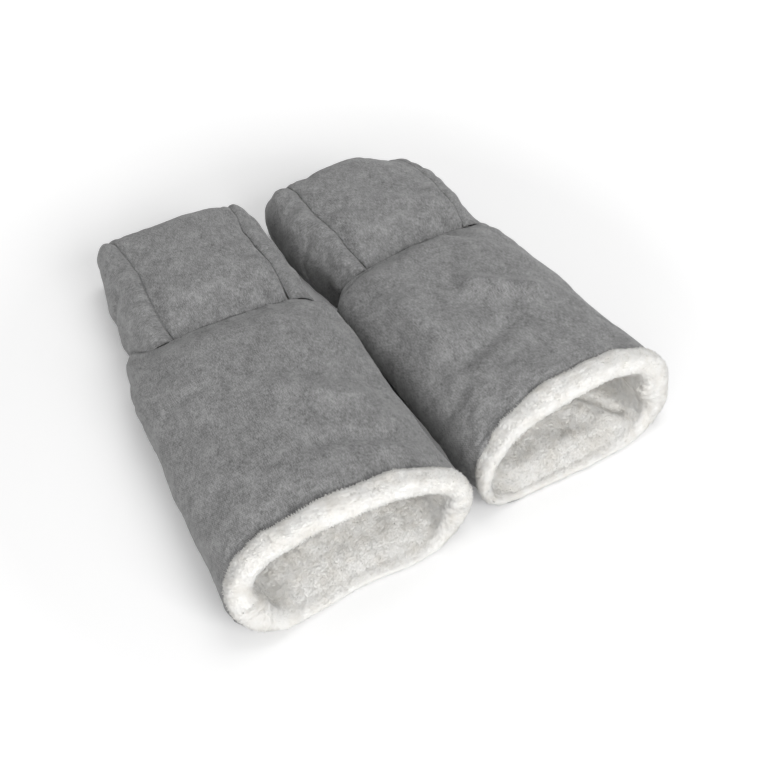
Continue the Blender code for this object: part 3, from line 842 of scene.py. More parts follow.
def sculpt(piece, height):
    """Moves each point along its normal by height(u, v, point)."""
    mesh = piece.data
    points = coordinates(mesh)
    normals = np.array([vert.normal for vert in mesh.vertices])
    across, along = uv_shares(piece)
    moves = np.array([height(u, v, p) for u, v, p in zip(across, along, points)])
    mesh.vertices.foreach_set("co", (points + normals * moves[:, None]).ravel())
    mesh.update()


def keep_off_floor(piece, lowest=0.0003):
    """Lifts what a fold has pushed under the surface that the muff lies on."""
    points = coordinates(piece.data)
    points[:, 2] = np.maximum(points[:, 2], lowest)
    piece.data.vertices.foreach_set("co", points.ravel())
    piece.data.update()


def thicken(piece, thickness):
    """Gives an open panel its thickness, inwards."""
    wall = piece.modifiers.new("thickness", "SOLIDIFY")
    wall.thickness = thickness
    wall.offset = -1
    return piece


def finish_piece(piece, muff, slot, node, body="muff"):
    """Lays a piece in its muff's place, and says what it is and what carries it."""
    piece.data.transform(muff.place)
    piece.data.materials.clear()
    piece.data.materials.append(made_material(FINISHES[slot]))
    for name in ("across", "along"):
        if name in piece.data.attributes:
            piece.data.attributes.remove(piece.data.attributes[name])
    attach(piece, f"{muff.side}_{body}")
    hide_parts(f"{muff.side}_{node}")


class Muff:
    """Where one muff lies, and what is its own about its folds."""

    def __init__(self, side):
        self.side = side
        self.sign = -1 if side == "left" else 1
        joint = next(j for j in frame["joints"] if j["name"] == f"{side}_flap_opening")
        across = Vector(joint["axis"]).normalized()
        forward = Vector((0, 0, 1)).cross(across)
        origin = Vector(joint["pos_m"]) - forward * CAP_END
        turned = Matrix((across, forward, (0, 0, 1))).transposed().to_4x4()
        self.place = Matrix.Translation(origin) @ turned
        self.seed = Vector((3.1, 7.7, 1.3)) if side == "left" else Vector((11.9, 2.4, 5.6))
        self.slack = 1.0 if side == "left" else 1.6

    def wave(self, x, y, z=0.0):
        """Smooth noise that is this muff's own."""
        return noise.noise(Vector((x, y, z)) + self.seed)


def both_muffs():
    """The left muff and the right one."""
    return [Muff(side) for side in SIDES]


# Covers

def finish_covers(covers, padding):
    """Puffs twill panels, folds them and closes them: (piece, muff, height of folds, node)."""
    settle([piece for piece, *_ in covers], padding)
    for piece, muff, height, node in covers:
        subdivide(piece)
        sculpt(piece, height)
        keep_off_floor(piece)
        thicken(piece, SHELL)
        finish_piece(piece, muff, "grey_melange_fabric", node)


def add_batt(muff, name, grid, place, flat, node, flipped=False):
    """A batt of wadding between a cover and its lining, with a faintly uneven face."""
    piece = add_panel(muff, name, grid, place, flat, flipped)
    sculpt(piece, lambda u, v, p: 0.0003 * muff.wave(*(p / 0.012)) - 0.0003)
    thicken(piece, WADDING_LAYER[1] - WADDING_LAYER[0])
    finish_piece(piece, muff, "wadding", node)


def fold_height(folds, x, y):
    """Height of a list of folds at a point seen from above."""
    total = 0
    for x0, y0, x1, y1, width, height in folds:
        run_x, run_y = x1 - x0, y1 - y0
        share = ((x - x0) * run_x + (y - y0) * run_y) / (run_x**2 + run_y**2)
        share = min(1, max(0, share))
        away = math.hypot(x - x0 - share * run_x, y - y0 - share * run_y)
        total += height * bell(away, width)
    return total


def body_top_place(muff, padding):
    """Lays the body's upper panel, sunk where it is sewn and full at its sides."""
    def make_rings(v):
        depth = padding.start_depth
        sunk = BODY_NECK_SINK * bell((1 - v) * BODY_LENGTH, SEAM_ROUND)
        return [body_ring(muff, TOP_TURNS, v, deep, COVER_ROW_POINTS)
                for deep in (depth, depth + sunk, SIDE_DEPTH)]
    rings_at = kept_by_row(make_rings)

    def place(u, v):
        plain, sunk, full = rings_at(v)
        index = round(u * (COVER_ROW_POINTS - 1))
        weight = 1 - ease(SEWN_HALF - 0.006, SEWN_HALF + 0.004, abs(plain[index][0]))
        side = ease(0.45, 0.75, abs(2 * u - 1))
        return Vector(between(between(plain[index], sunk[index], weight), full[index], side))
    return place


def body_top_height(muff):
    """Folds of the body's upper panel: each is a height times noise at its own wavelengths."""
    def height(u, v, point):
        x, y, z = point
        far = (1 - v) * BODY_LENGTH
        near = v * BODY_LENGTH
        slack = muff.slack
        broad = 0.0021 * slack * muff.wave(x / 0.045 + y / 0.12, y / 0.06)
        crease = 0.0012 * slack * muff.wave(x / 0.022 + 0.4 * y / 0.03, y / 0.034, 3.3)
        fine = 0.00025 * muff.wave(x / 0.008, y / 0.011, 9.1)
        gather = muff.wave(x / 0.013, y / 0.05, 5.0) * bell(far - 0.008, 0.020)
        gather *= 0.0030 * ease(0, 0.004, far)
        hem = -0.0006 * bell(near - 0.010, 0.0020) - 0.0008 * bell(near, 0.003)
        hem_pucker = 0.0006 * muff.wave(u / 0.035, 0.0, 2.2) * bell(near, 0.015)
        edge = ease(0, 0.006, near) * ease(0, 0.004, far)
        folds = fold_height(BODY_FOLDS[muff.side], x, y)
        return (broad + crease + fine + folds) * edge + gather + hem + hem_pucker
    return height


def build_body_covers(context):
    """The body's twill panels, with their wadding."""
    padding = context.scene.hand_muff_padding
    size = (BODY_COVER_WIDTH, BODY_LENGTH)
    grid = [round(length / CELL) for length in size]
    covers = []
    for muff in both_muffs():
        piece = add_panel(muff, "body_cover_top", grid, body_top_place(muff, padding), size)
        hold(piece, size)
        covers.append((piece, muff, body_top_height(muff), "body_top_shell"))
    finish_covers(covers, padding)
    for muff in both_muffs():
        build_body_under(muff)
        build_body_wadding(muff)


def body_strip(muff, turns, depth, first=0.0, last=1.0):
    """Lays a panel between two turns of the body, at a depth, over these shares of its length."""
    ring_at = kept_by_row(
        lambda v: body_ring(muff, turns, between(first, last, v), depth, ROW_POINTS))
    return lambda u, v: Vector(ring_at(v)[round(u * (ROW_POINTS - 1))])


def build_body_under(muff):
    """The body's lower twill panel, flat on the floor."""
    piece = add_panel(muff, "body_cover_under", (64, 72), body_strip(muff, UNDER_TURNS, 0.0002),
                      (0.20, BODY_LENGTH))

    def height(u, v, point):
        x, y, z = point
        free = ease(0.02, 0.12, min(u, 1 - u)) * ease(0, 0.03, min(v, 1 - v))
        return -0.0006 * free * (0.5 + 0.5 * muff.wave(x / 0.03, y / 0.045, 4.4))

    sculpt(piece, height)
    keep_off_floor(piece, 0.0001)
    thicken(piece, SHELL)
    finish_piece(piece, muff, "grey_melange_fabric", "body_under_shell")


def build_body_wadding(muff):
    """The batts of wadding between the covers and the lining, and the neck's elastic."""
    depth = WADDING_LAYER[0]
    add_batt(muff, "body_batt_top", (48, 44), body_strip(muff, TOP_TURNS, depth, 0.02, 0.93),
             (0.24, 0.21), "body_top_wadding")
    add_batt(muff, "body_batt_under", (48, 44), body_strip(muff, UNDER_TURNS, depth, 0.085, 0.80),
             (0.19, 0.18), "body_under_wadding")
    for hand, sign in HANDS:
        def place(u, v):
            turn = sign * between(0.55, 1.05, u if sign > 0 else 1 - u)
            return Vector(body_wall(muff, turn, between(0.972, 0.996, v), depth))

        piece = add_panel(muff, f"elastic_{hand}", (40, 6), place, (0.06, 0.006))
        sculpt(piece, lambda u, v, p: 0.0002 * math.sin(u * 120))
        thicken(piece, 0.0009)
        finish_piece(piece, muff, "elastic", f"neck_elastic_{hand}")


# Cap

def seam_hold(muff, hand, gone):
    """How firmly a cap seam draws its panels in, at a distance along it from the neck."""
    pulled = 0.4 if (muff.side, hand) == ("right", 1) else 1
    return pulled * (1 - 0.9 * bell(gone - cap_form(0).length, 0.022))


def seam_depth(padding, distance, sink, hold):
    """Depth of a panel at a distance from a seam, which draws it in and folds its edge down."""
    base = padding.start_depth * (1 - 0.6 * bell(distance, SEAM_NEAR))
    base -= 0.0022 * (1 - hold) * bell(distance, SEAM_NEAR)
    draw = SEAM_DRAW * bell(distance, SEAM_ROUND) + sink * bell(distance, SEAM_FOLD)
    return base + hold * draw


def cap_top_place(muff, padding):
    """Lays the cap panel over the top, the nose and the far wall."""
    form = cap_form(0)
    length = form.length + form.drop

    def place(u, v):
        across = 2 * u - 1
        seam = (1 - abs(across)) * CAP_WIDTHS[0] / 2
        hold = seam_hold(muff, math.copysign(1, across), v * length)
        depth = seam_depth(padding, seam, SEAM_SINK, hold)
        depth = max(depth, CAP_NECK_SINK * bell(v * length, SEAM_ROUND))
        return Vector(cap_form(depth).top(across, v)) + stray(muff, None, u, v)
    return place


def cap_top_height(muff):
    """Folds of the cap panel."""
    def height(u, v, point):
        x, y, z = point
        seam = min(u, 1 - u) * CAP_WIDTHS[0]
        edge = ease(0, 0.08, min(u, 1 - u)) * ease(0, 0.04, min(v, 1 - v))
        broad = 0.0016 * muff.wave(x / 0.045, y / 0.05, z / 0.05 + 6.0)
        crease = 0.0007 * muff.wave(x / 0.016, y / 0.022, z / 0.02 + 2.0)
        pucker = 0.0022 * muff.wave(x / 0.03, (y - 0.5 * abs(x)) / 0.0085, 8.0) * bell(seam, 0.009)
        pucker *= ease(0, 0.003, seam) * (1 - bell(v - 0.8, 0.15))
        gather = 0.0016 * muff.wave(x / 0.010, y / 0.05, 5.0) * bell(v * 0.2 - 0.004, 0.010)
        folds = fold_height(CAP_FOLDS[muff.side], x, y)
        return (broad + crease + folds) * edge + pucker + gather * ease(0, 0.02, v)
    return height


def seam_stray(muff, hand, gone):
    """How far outwards and up a cap seam strays, at a distance along it from the neck."""
    knots = SEAM_STRAYS[muff.side, hand]
    out = smooth_through([(place, value) for place, value, _ in knots], gone)
    rise = smooth_through([(place, value) for place, _, value in knots], gone)
    return out + 0.0010 * muff.wave(9.0 * hand, gone / 0.012, 2.9) * ease(0, 0.014, gone), rise


def gusset_down(v):
    """How far down a gusset's row lies, with the rows crowded towards its two seams."""
    return (1 - math.cos(math.pi * v)) / 2


def stray(muff, hand, u, v):
    """How far a point of the cap lies off its form: of its panel, or of one hand's gusset."""
    form = cap_form(0)
    if hand is None:
        gone = v * (form.length + form.drop)
        seams = ((-1, u * CAP_WIDTHS[0]), (1, (1 - u) * CAP_WIDTHS[0]))
        nose = 1
    else:
        drop = gusset_down(v) * form.drop
        gone = u * form.length + drop
        seams = ((hand, min(drop, (1 - u) * form.length)),)
        nose = bell(seams[0][1], SEAM_STRAY_REACH)
    forward, up = NOSE_LIFTS[muff.side]
    move = Vector((0, forward, up)) * nose * bell(gone - 0.140, 0.035)
    for sign, distance in seams:
        out, rise = seam_stray(muff, sign, gone)
        move += Vector((sign * out, 0, rise)) * bell(distance, SEAM_STRAY_REACH)
    return move


def visual_slit(down):
    """Width of the bar's slit: sewn shut at its top, then opening towards the floor."""
    open_share = min(1, max(0, (down - SLIT_TOP) / (1 - SLIT_TOP)))
    return SLIT_WIDTH * math.sqrt(math.sin(math.pi * open_share))


def neck_half_at(muff, sign, height):
    """Half the width of the body's neck at a height."""
    samples = [body_wall(muff, sign * turn, 1.0, 0) for turn in np.linspace(0.001, 1.6, 60)]
    xs = [abs(p[0]) for p in samples]
    zs = [p[2] for p in samples]
    return float(np.interp(-height, [-z for z in zs], xs))


def bulges_of(muff, sign):
    """How far a gusset bulges near the neck, in its middle and at its far end."""
    return (OUTER_BULGES if sign == muff.sign else INNER_BULGES)[muff.side]


def gusset_place(muff, sign, padding):
    """Lays a side gusset, joined to the body's neck above its slit."""
    form = cap_form(0)
    bulges = bulges_of(muff, sign)
    necks = {}

    def place(u, v):
        down = gusset_down(v)
        run = u * form.length
        drop = min(down, 1 - down) * CAP_HEIGHTS[1]
        seam = math.hypot(drop, 0.6 * math.sin(math.pi * v) * 0.02)
        far = (1 - u) * form.length
        front = run if down < 0.3 else 1
        top_seam = seam if down < 0.5 else 1
        hold = seam_hold(muff, sign, run + down * form.drop)
        depth = max(seam_depth(padding, min(top_seam, far), SEAM_SINK, hold),
                    BODY_NECK_SINK * bell(front, SEAM_ROUND))
        x, y, z = cap_form(depth).side(u, down, visual_slit(down), bulges)
        joined = (1 - ease(0.02, 0.26, u)) * (1 - ease(0.30, 0.55, down)) * ease(0, 0.05, down)
        key = round(z * 2000)
        if key not in necks:
            necks[key] = neck_half_at(muff, sign, z)
        x += joined * max(0, necks[key] - depth - x)
        return Vector((sign * x, y, z)) + stray(muff, sign, u, v)
    return place


def gusset_height(muff, sign):
    """Folds of a gusset: puckers where it is drawn in beside the slit."""
    def height(u, v, point):
        x, y, z = point
        edge = ease(0, 0.10, min(v, 1 - v)) * ease(0, 0.06, min(u, 1 - u))
        broad = 0.0020 * muff.wave(y / 0.035, z / 0.03, sign * 4.0)
        crease = 0.0010 * muff.wave(y / 0.014 + z / 0.03, z / 0.018, sign * 7.0)
        pucker = 0.0024 * muff.wave(y / 0.030, z / 0.0085, sign * 2.0) * bell(u, 0.25)
        stitch = 0.0024 * muff.wave(3.0, (y + 0.4 * z) / 0.0095, sign * 5.0) * bell(v, 0.14)
        stitch *= 1 - bell(u - 1, 0.2)
        return (broad + crease + pucker) * edge + stitch * ease(0, 0.05, v)
    return height


def build_cap_covers(context):
    """The cap's twill panels: its top and its two gussets, with their wadding."""
    padding = context.scene.hand_muff_padding
    form = cap_form(0)
    length = form.length + form.drop
    across, along = CAP_CELLS
    covers = []
    for muff in both_muffs():
        size = (CAP_WIDTHS[1], length)
        grid = (round(CAP_WIDTHS[0] / across), round(length / along))
        piece = add_panel(muff, "cap_cover_top", grid, cap_top_place(muff, padding), size)
        hold(piece, size)
        covers.append((piece, muff, cap_top_height(muff), "cap_shell"))
        for hand, sign in HANDS:
            size = (form.length, 0.092)
            grid = (round(form.length / along), 36)
            piece = add_panel(muff, f"gusset_cover_{hand}", grid,
                              gusset_place(muff, sign, padding), size, sign > 0)
            hold(piece, size)
            covers.append((piece, muff, gusset_height(muff, sign), f"gusset_{hand}_shell"))
    finish_covers(covers, padding)
    for muff in both_muffs():
        build_cap_wadding(muff)


def inner_panel(muff, depth, width, length):
    """Lays a layer of the cap panel at a depth, over these shares of the panel."""
    def place(u, v):
        u, v = between(*width, u), between(*length, v)
        return Vector(cap_form(depth).top(2 * u - 1, v)) + stray(muff, None, u, v)
    return place


def inner_gusset(muff, sign, depth, width, length):
    """Lays a layer of a gusset at a depth, over these shares of the gusset."""
    def place(u, v):
        u, v = between(*width, u), between(*length, v)
        down = gusset_down(v)
        x, y, z = cap_form(depth).side(u, down, visual_slit(down), bulges_of(muff, sign))
        return Vector((sign * x, y, z)) + stray(muff, sign, u, v)
    return place


def build_cap_wadding(muff):
    """The batts behind the cap panel and the gussets."""
    depth = WADDING_LAYER[0]
    add_batt(muff, "cap_batt", (36, 60), inner_panel(muff, depth, (0.02, 0.98), (0.02, 0.99)),
             (0.10, 0.19), "cap_wadding")
    for hand, sign in HANDS:
        place = inner_gusset(muff, sign, depth, (0.03, 0.97), (0.06, 0.94))
        add_batt(muff, f"gusset_batt_{hand}", (48, 24), place, (0.14, 0.09),
                 f"gusset_{hand}_wadding", sign > 0)


# Plush

def raise_pile(shape, faces, plush, seed, share=1):
    """Raises a tuft on each of these faces: a poked tip, drawn out and leaned."""
    length = share * plush.length
    made = bmesh.ops.poke(shape, faces=faces, offset=length, center_mode="MEAN")
    dice = random.Random(seed)
    shift = Vector((dice.random() * 9, dice.random() * 9, dice.random() * 9))
    for tip in made["verts"]:
        tip.co += tip.normal * dice.uniform(-0.45, 0.35) * length
        lean = noise.noise_vector(tip.co / plush.clump + shift) * 0.5 * length
        loose = Vector((dice.gauss(0, 1), dice.gauss(0, 1), dice.gauss(0, 1))) * 0.30 * length
        tip.co += lean + loose


def back_and_pile(shape, backing, plush, seed, share=1):
    """Gives a lining its backing, and raises its pile on the side that shows."""
    faces = shape.faces[:]
    bmesh.ops.solidify(shape, geom=faces, thickness=backing)
    raise_pile(shape, [face for face in faces if face.is_valid], plush, seed, share)


def roll_values(muff, turn):
    """At a turn: where the roll lies back and ends in front, half its thickness, its rise."""
    return tuple(smooth_through(knots[muff.side], one_round(turn))
                 for knots in (HEM_BACK, ROLL_FRONT, ROLL_HALF_THICK, ROLL_PROUD))


def roll_lift(proud, low):
    """Depth of the roll's crest under the cover's face; below 0 it stands proud of it."""
    return between(-proud, 0.0003 - min(0, proud), low)


def cuff_place(muff, pile):
    """Lays the plush roll: u goes round the mouth, v round the roll's own section."""
    def place(u, v):
        turn = between(-3, 3, u)
        if turn > 2.9999:
            turn = -3
        back, front, thick, proud = roll_values(muff, turn)
        low = ease(*LOW_TURNS, abs(turn))
        round_mouth = u * 2 * math.pi
        cosine, sine = math.cos(round_mouth), math.sin(round_mouth)
        back += ROLL_OVERLAP + 0.0016 * muff.wave(8 * cosine, 8 * sine, 3.0)
        front += pile
        angle = 2 * math.pi * v
        ring = Vector((cosine, sine, 0))
        section = Vector((0, math.sin(angle), math.cos(angle)))
        lump = 0.0010 * noise.noise(ring * 4.5 + section * 0.4 + muff.seed)
        lump += 0.0006 * noise.noise(ring * 14 + section * 0.8 + muff.seed)
        outer = Vector(body_wall(muff, turn, 0, 0))
        inward = Vector(body_wall(muff, turn, 0, 0.02)) - outer
        inward.y = 0
        inward.normalize()
        power_across, power_along = (between(power, 1, low) for power in ROLL_POWERS)
        thin, short = (between(1, share, low) for share in LOW_ROLL_SHARES)
        across = math.copysign(abs(math.cos(angle)) ** power_across, math.cos(angle))
        forward = math.copysign(abs(math.sin(angle)) ** power_along, math.sin(angle))
        middle = thick + roll_lift(proud, low)
        point = outer + inward * (middle - across * (thick + lump) * thin)
        run = (front + back) / 2 - forward * ((back - front) / 2 + lump) * short
        point.y = MOUTH_SLOPE * max(point.z, 0) + run
        point.z = max(point.z, 0.0004)
        return point
    return place


def lining_place(muff, turns, pile):
    """Lays a lining of the body, which comes from the plush roll and runs over the lower lip."""
    def point(turn, v):
        back, front, thick, proud = roll_values(muff, turn)
        away = min(abs(turn), 6 - turn)
        low = ease(*LOW_TURNS, away)
        outward = muff.side == "right" and turn * muff.sign > 0 and turn <= 3
        side = ease(0.15, 0.80, away) if outward else ease(0.55, 0.95, away)
        middle = (front + pile + ROLL_OVERLAP - back) / 2
        half = (back + ROLL_OVERLAP - front - pile) / 2
        half += (0.0004 + 0.0010 * muff.wave(2.6 * turn, 1.0, 4.0)) * low
        full = LINING_LAYER[1]
        crest = 2 * thick + roll_lift(proud, low)
        opening = between(min(crest - 0.0004, full), crest + 0.0003, side)
        lip = low * LIP_RUN
        gone = v * (lip + LINING_END * BODY_LENGTH - middle)
        if gone < lip:
            angle = between(math.radians(90 - 130 * low), math.pi / 2, gone / lip)
            along = middle - half * math.cos(angle)
            depth = opening - thick * (1 - math.sin(angle))
        else:
            along = middle + gone - lip
            if turn > 1.6:
                lift = body_lift(along) / NECK_LIFT
                full -= (LINING_LAYER[0] - NECK_LINING_DEPTH) * lift * ease(1.6, 2.1, away)
            side_rise = LINING_RISES[1] * (2 if outward else 1)
            run = between(LINING_RISES[0], side_rise, side * (1 - low))
            rise = min(1, (along - middle) / run)
            start = between((1 - math.cos(math.pi * rise)) / 2, math.sin(math.pi / 2 * rise), low)
            depth = between(opening, full, start)
        return body_wall(muff, turn, along / BODY_LENGTH, depth)

    ring_at = kept_by_row(lambda v: spread_evenly(
        [point(turn, v) for turn in np.linspace(*turns, SAMPLES)], ROW_POINTS))
    return lambda u, v: Vector(ring_at(v)[round(u * (ROW_POINTS - 1))])


def build_cuffs(context):
    """The plush roll round each mouth."""
    plush = context.scene.hand_muff_plush
    for muff in both_muffs():
        shape = panel_shape((440, 64), cuff_place(muff, plush.length), (0.46, 0.05))
        bmesh.ops.remove_doubles(shape, verts=shape.verts[:], dist=0.00002)
        bmesh.ops.recalc_face_normals(shape, faces=shape.faces[:])
        if shape.calc_volume(signed=True) < 0:
            bmesh.ops.reverse_faces(shape, faces=shape.faces[:])
        raise_pile(shape, shape.faces[:], plush, ROLL_SEEDS[muff.side])
        piece = new_piece(f"{muff.side}_mouth_roll", shape)
        keep_off_floor(piece)
        finish_piece(piece, muff, "white_plush", "mouth_cuff")


def build_linings(context):
    """The plush linings of the body and the cap."""
    plush = context.scene.hand_muff_plush
    depth = LINING_LAYER[1]
    for muff in both_muffs():
        panels = [
            ("body_lining_top", (190, 170), lining_place(muff, TOP_TURNS, plush.length),
             (0.21, 0.22), True, "body_top_plush"),
            ("body_lining_under", (150, 170), lining_place(muff, UNDER_TURNS, plush.length),
             (0.18, 0.22), True, "body_under_plush"),
            ("cap_lining", (52, 84), inner_panel(muff, depth, (0.015, 0.985), (0.0, 0.99)),
             (0.10, 0.18), True, "cap_plush"),
        ]
        for hand, sign in HANDS:
            place = inner_gusset(muff, sign, depth, (0.01, 0.99), (0.03, 0.97))
            panels.append((f"gusset_lining_{hand}", (66, 34), place, (0.13, 0.08), sign < 0,
                           f"gusset_{hand}_plush"))
        for index, (name, grid, place, flat, flipped, node) in enumerate(panels):
            of_body = name.startswith("body")
            shape = panel_shape(grid, mouth_crowded(place) if of_body else place, flat, flipped)
            for vert in shape.verts:
                rough = 0.0005 * noise.noise(vert.co / 0.011 + muff.seed)
                fold = 0.0016 * noise.noise(vert.co / 0.034 + muff.seed)
                run = vert.co.y - MOUTH_SLOPE * vert.co.z
                free = ease(0.0, 0.022, run) if of_body else 1
                if name == "body_lining_under":
                    fold += fold_height(LINING_FOLDS[muff.side], vert.co.x, run)
                vert.co += vert.normal * (rough + fold) * free
            back_and_pile(shape, BACKING, plush, LINING_SEED + index, LINING_PILE_SHARE)
            piece = new_piece(f"{muff.side}_{name}", shape)
            finish_piece(piece, muff, "white_plush", node)


def mouth_crowded(place):
    """Crowds a panel's rows towards the mouth, where they show."""
    return lambda u, v: place(u, v * (0.55 + 0.45 * v))


# Flap

def flap_lift(along):
    """Height of the flap's outer face, which clears the stud heads in front."""
    return TAB_LIFT * min(1, max(0, 1 - (along - BODY_LENGTH) / FLAP_RAMP))


def flap_half(along, depth):
    """Half the flap's width: the rounded tab, then the padded panel."""
    start = BODY_LENGTH - TAB_LENGTH
    tab = between(TAB_WIDTHS[0], TAB_WIDTHS[1], ease(start, start + 0.010, along)) / 2
    wide = cap_half(max(along, BODY_LENGTH), depth) - FLAP_GAP
    return between(tab, wide, ease(BODY_LENGTH - 0.002, BODY_LENGTH + 0.0015, along))


def flap_cover_place(u, v):
    """Lays the flap's twill, flat, with the tab in front."""
    along = between(BODY_LENGTH - TAB_LENGTH, CAP_END - FLAP_GAP, v)
    x = (2 * u - 1) * flap_half(along, 0)
    return Vector((x, along, flap_lift(along) + 0.0001))


def flap_layer_place(depth, edge):
    """Lays a layer of the flap at a depth, this far inside its edges."""
    def place(u, v):
        along = between(BODY_LENGTH + 0.004, CAP_END - depth - FLAP_GAP - edge, v)
        x = (2 * u - 1) * (flap_half(along, depth) - edge)
        swell = 0.0004 * round_off(2 * u - 1, 2.5)
        return Vector((x, along, flap_lift(along) + depth - swell))
    return place


def build_flaps(context):
    """The flap under each cap: its twill with the tab, its wadding and its lining."""
    plush = context.scene.hand_muff_plush
    depth, inner = FLAP_WADDING_LAYER
    for muff in both_muffs():
        piece = add_panel(muff, "flap_cover", (60, 104), flap_cover_place,
                          (CAP_WIDTHS[1], CAP_LENGTH + TAB_LENGTH), True)
        thicken(piece, SHELL)
        finish_piece(piece, muff, "grey_melange_fabric", "flap_shell", "flap")

        piece = add_panel(muff, "flap_batt", (40, 56), flap_layer_place(depth, 0.001),
                          (0.10, 0.14), True)
        thicken(piece, inner - depth)
        finish_piece(piece, muff, "wadding", "flap_wadding", "flap")

        place = flap_layer_place(LINING_LAYER[0] + 0.0028, 0.003)
        shape = panel_shape((76, 104), place, (0.10, 0.14))
        back_and_pile(shape, FLAP_BACKING, plush, FLAP_SEED)
        piece = new_piece(f"{muff.side}_flap_lining", shape)
        finish_piece(piece, muff, "white_plush", "flap_plush", "flap")


def build_studs(context):
    """Gives the press studs, which keep their solid shape, their plating."""
    for name, node in frame["nodes"].items():
        if "_snap_" in name:
            node.data.materials.clear()
            node.data.materials.append(made_material("black_nickel_plating"))


# Stage

def aim(name, data, place, towards):
    """A lamp or camera at a place, which looks along a direction."""
    holder = bpy.data.objects.new(name, data)
    holder.location = place
    holder.rotation_mode = "QUATERNION"
    holder.rotation_quaternion = towards.to_track_quat("-Z", "Y")
    bpy.context.scene.collection.objects.link(holder)
    return holder


def add_lamp(name, place, target, size, power):
    """A rectangular soft lamp that looks at a target."""
    lamp = bpy.data.lights.new(name, "AREA")
    lamp.shape = "RECTANGLE"
    lamp.size, lamp.size_y = size
    lamp.energy = power
    aim(name, lamp, place, Vector(target) - Vector(place))


def build_stage(context):
    """The floor, the lamps, the sky and the camera."""
    scene = context.scene
    studio = scene.hand_muff_studio
    floor_shape = bmesh.new()
    bmesh.ops.create_grid(floor_shape, x_segments=1, y_segments=1, size=6)
    floor = new_piece("floor", floor_shape)
    floor.data.materials.append(made_material("matt_backdrop_paper"))
    for name, (place, target, size) in LAMPS.items():
        add_lamp(f"{name}_lamp", place, target, size, getattr(studio, name))
    world = bpy.data.worlds.new("studio_sky")
    world.use_nodes = True
    tree = world.node_tree
    tree.nodes.clear()
    sky = add_node(tree, "ShaderNodeBackground", {"Color": (1, 1, 1, 1), "Strength": studio.sky})
    seen = add_node(tree, "ShaderNodeBackground", {"Color": (1, 1, 1, 1), "Strength": 1.0})
    mixed = add_node(tree, "ShaderNodeMixShader",
                     {0: seen_directly(tree), 1: sky.outputs[0], 2: seen.outputs[0]})
    add_node(tree, "ShaderNodeOutputWorld", {"Surface": mixed.outputs[0]})
    scene.world = world
    scene.view_settings.view_transform = "Standard"
    azimuth, elevation = studio.azimuth, studio.elevation
    away = Vector((math.sin(azimuth) * math.cos(elevation),
                   -math.cos(azimuth) * math.cos(elevation), math.sin(elevation)))
    camera = bpy.data.cameras.new("camera")
    camera.lens = studio.lens
    camera.sensor_width = 36
    camera.clip_start = 0.01
    scene.camera = aim("camera", camera, Vector(CAMERA_TARGET) + away * studio.distance, -away)


class HANDMUFF_OT_stage(bpy.types.Operator):
    """Adds the floor, the lamps, the sky and the camera"""

    bl_idname = "hand_muff.stage"
    bl_label = "Stage"

    def execute(self, context):
        build_stage(context)
        return {"FINISHED"}


class HANDMUFF_OT_body_covers(bpy.types.Operator):
    """Adds the twill panels of the bodies, with their wadding and elastic"""

    bl_idname = "hand_muff.body_covers"
    bl_label = "Body covers"

    def execute(self, context):
        build_body_covers(context)
        return {"FINISHED"}


class HANDMUFF_OT_cap_covers(bpy.types.Operator):
    """Adds the twill panels of the caps, with their wadding"""

    bl_idname = "hand_muff.cap_covers"
    bl_label = "Cap covers"

    def execute(self, context):
        build_cap_covers(context)
        return {"FINISHED"}


class HANDMUFF_OT_cuffs(bpy.types.Operator):
    """Adds the plush rolls round the mouths"""

    bl_idname = "hand_muff.cuffs"
    bl_label = "Plush cuffs"

    def execute(self, context):
        build_cuffs(context)
        return {"FINISHED"}


class HANDMUFF_OT_linings(bpy.types.Operator):
    """Adds the plush linings of the bodies and the caps"""

    bl_idname = "hand_muff.linings"
    bl_label = "Plush linings"

    def execute(self, context):
        build_linings(context)
        return {"FINISHED"}


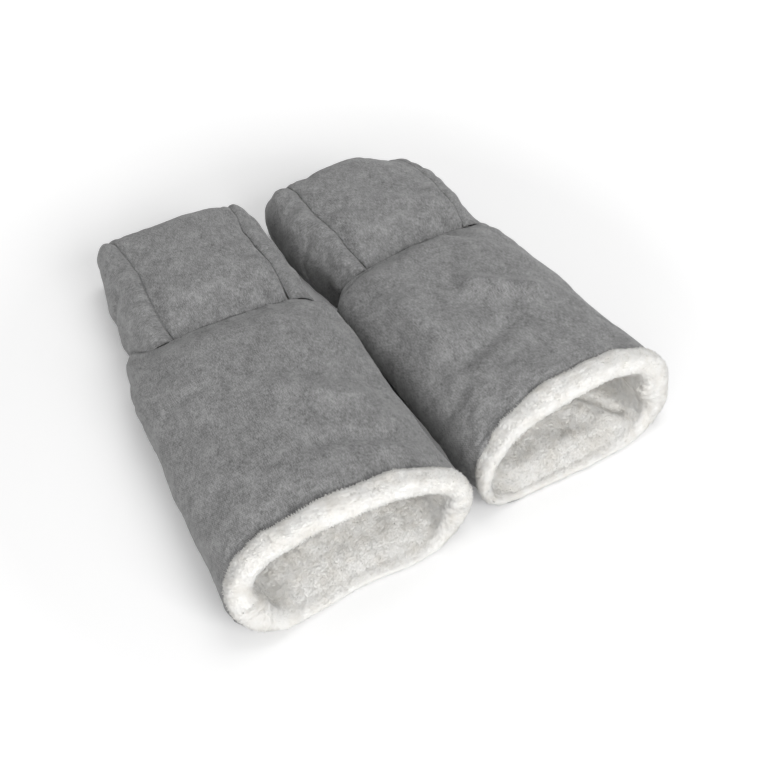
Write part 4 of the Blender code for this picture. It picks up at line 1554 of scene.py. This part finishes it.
class HANDMUFF_OT_flaps(bpy.types.Operator):
    """Adds the flaps under the caps"""

    bl_idname = "hand_muff.flaps"
    bl_label = "Flaps"

    def execute(self, context):
        build_flaps(context)
        return {"FINISHED"}


class HANDMUFF_OT_studs(bpy.types.Operator):
    """Plates the press studs"""

    bl_idname = "hand_muff.studs"
    bl_label = "Press studs"

    def execute(self, context):
        build_studs(context)
        return {"FINISHED"}


STEPS = (
    HANDMUFF_OT_stage, HANDMUFF_OT_body_covers, HANDMUFF_OT_cap_covers, HANDMUFF_OT_cuffs,
    HANDMUFF_OT_linings, HANDMUFF_OT_flaps, HANDMUFF_OT_studs,
)
GROUPS = (
    ("hand_muff_padding", HandMuffPadding), ("hand_muff_fabric", HandMuffFabric),
    ("hand_muff_plush", HandMuffPlush), ("hand_muff_studio", HandMuffStudio),
)


class HANDMUFF_PT_sidebar(bpy.types.Panel):
    """Lists the pieces of the hand muffs"""

    bl_label = "Hand muffs"
    bl_idname = "HANDMUFF_PT_sidebar"
    bl_space_type = "VIEW_3D"
    bl_region_type = "UI"
    bl_category = "Hand muffs"

    def draw(self, context):
        for step in STEPS:
            self.layout.operator(step.bl_idname)
        for name, group in GROUPS:
            box = self.layout.box()
            for value in group.__annotations__:
                box.prop(getattr(context.scene, name), value)


def register():
    for name, group in GROUPS:
        bpy.utils.register_class(group)
        setattr(bpy.types.Scene, name, bpy.props.PointerProperty(type=group))
    for step in STEPS:
        bpy.utils.register_class(step)
    bpy.utils.register_class(HANDMUFF_PT_sidebar)


def unregister():
    bpy.utils.unregister_class(HANDMUFF_PT_sidebar)
    for step in reversed(STEPS):
        bpy.utils.unregister_class(step)
    for name, group in reversed(GROUPS):
        delattr(bpy.types.Scene, name)
        bpy.utils.unregister_class(group)


def main():
    """Builds everything."""
    register()
    bpy.ops.hand_muff.stage()
    bpy.ops.hand_muff.body_covers()
    bpy.ops.hand_muff.cap_covers()
    bpy.ops.hand_muff.cuffs()
    bpy.ops.hand_muff.linings()
    bpy.ops.hand_muff.flaps()
    bpy.ops.hand_muff.studs()


if __name__ == "__main__":
    main()
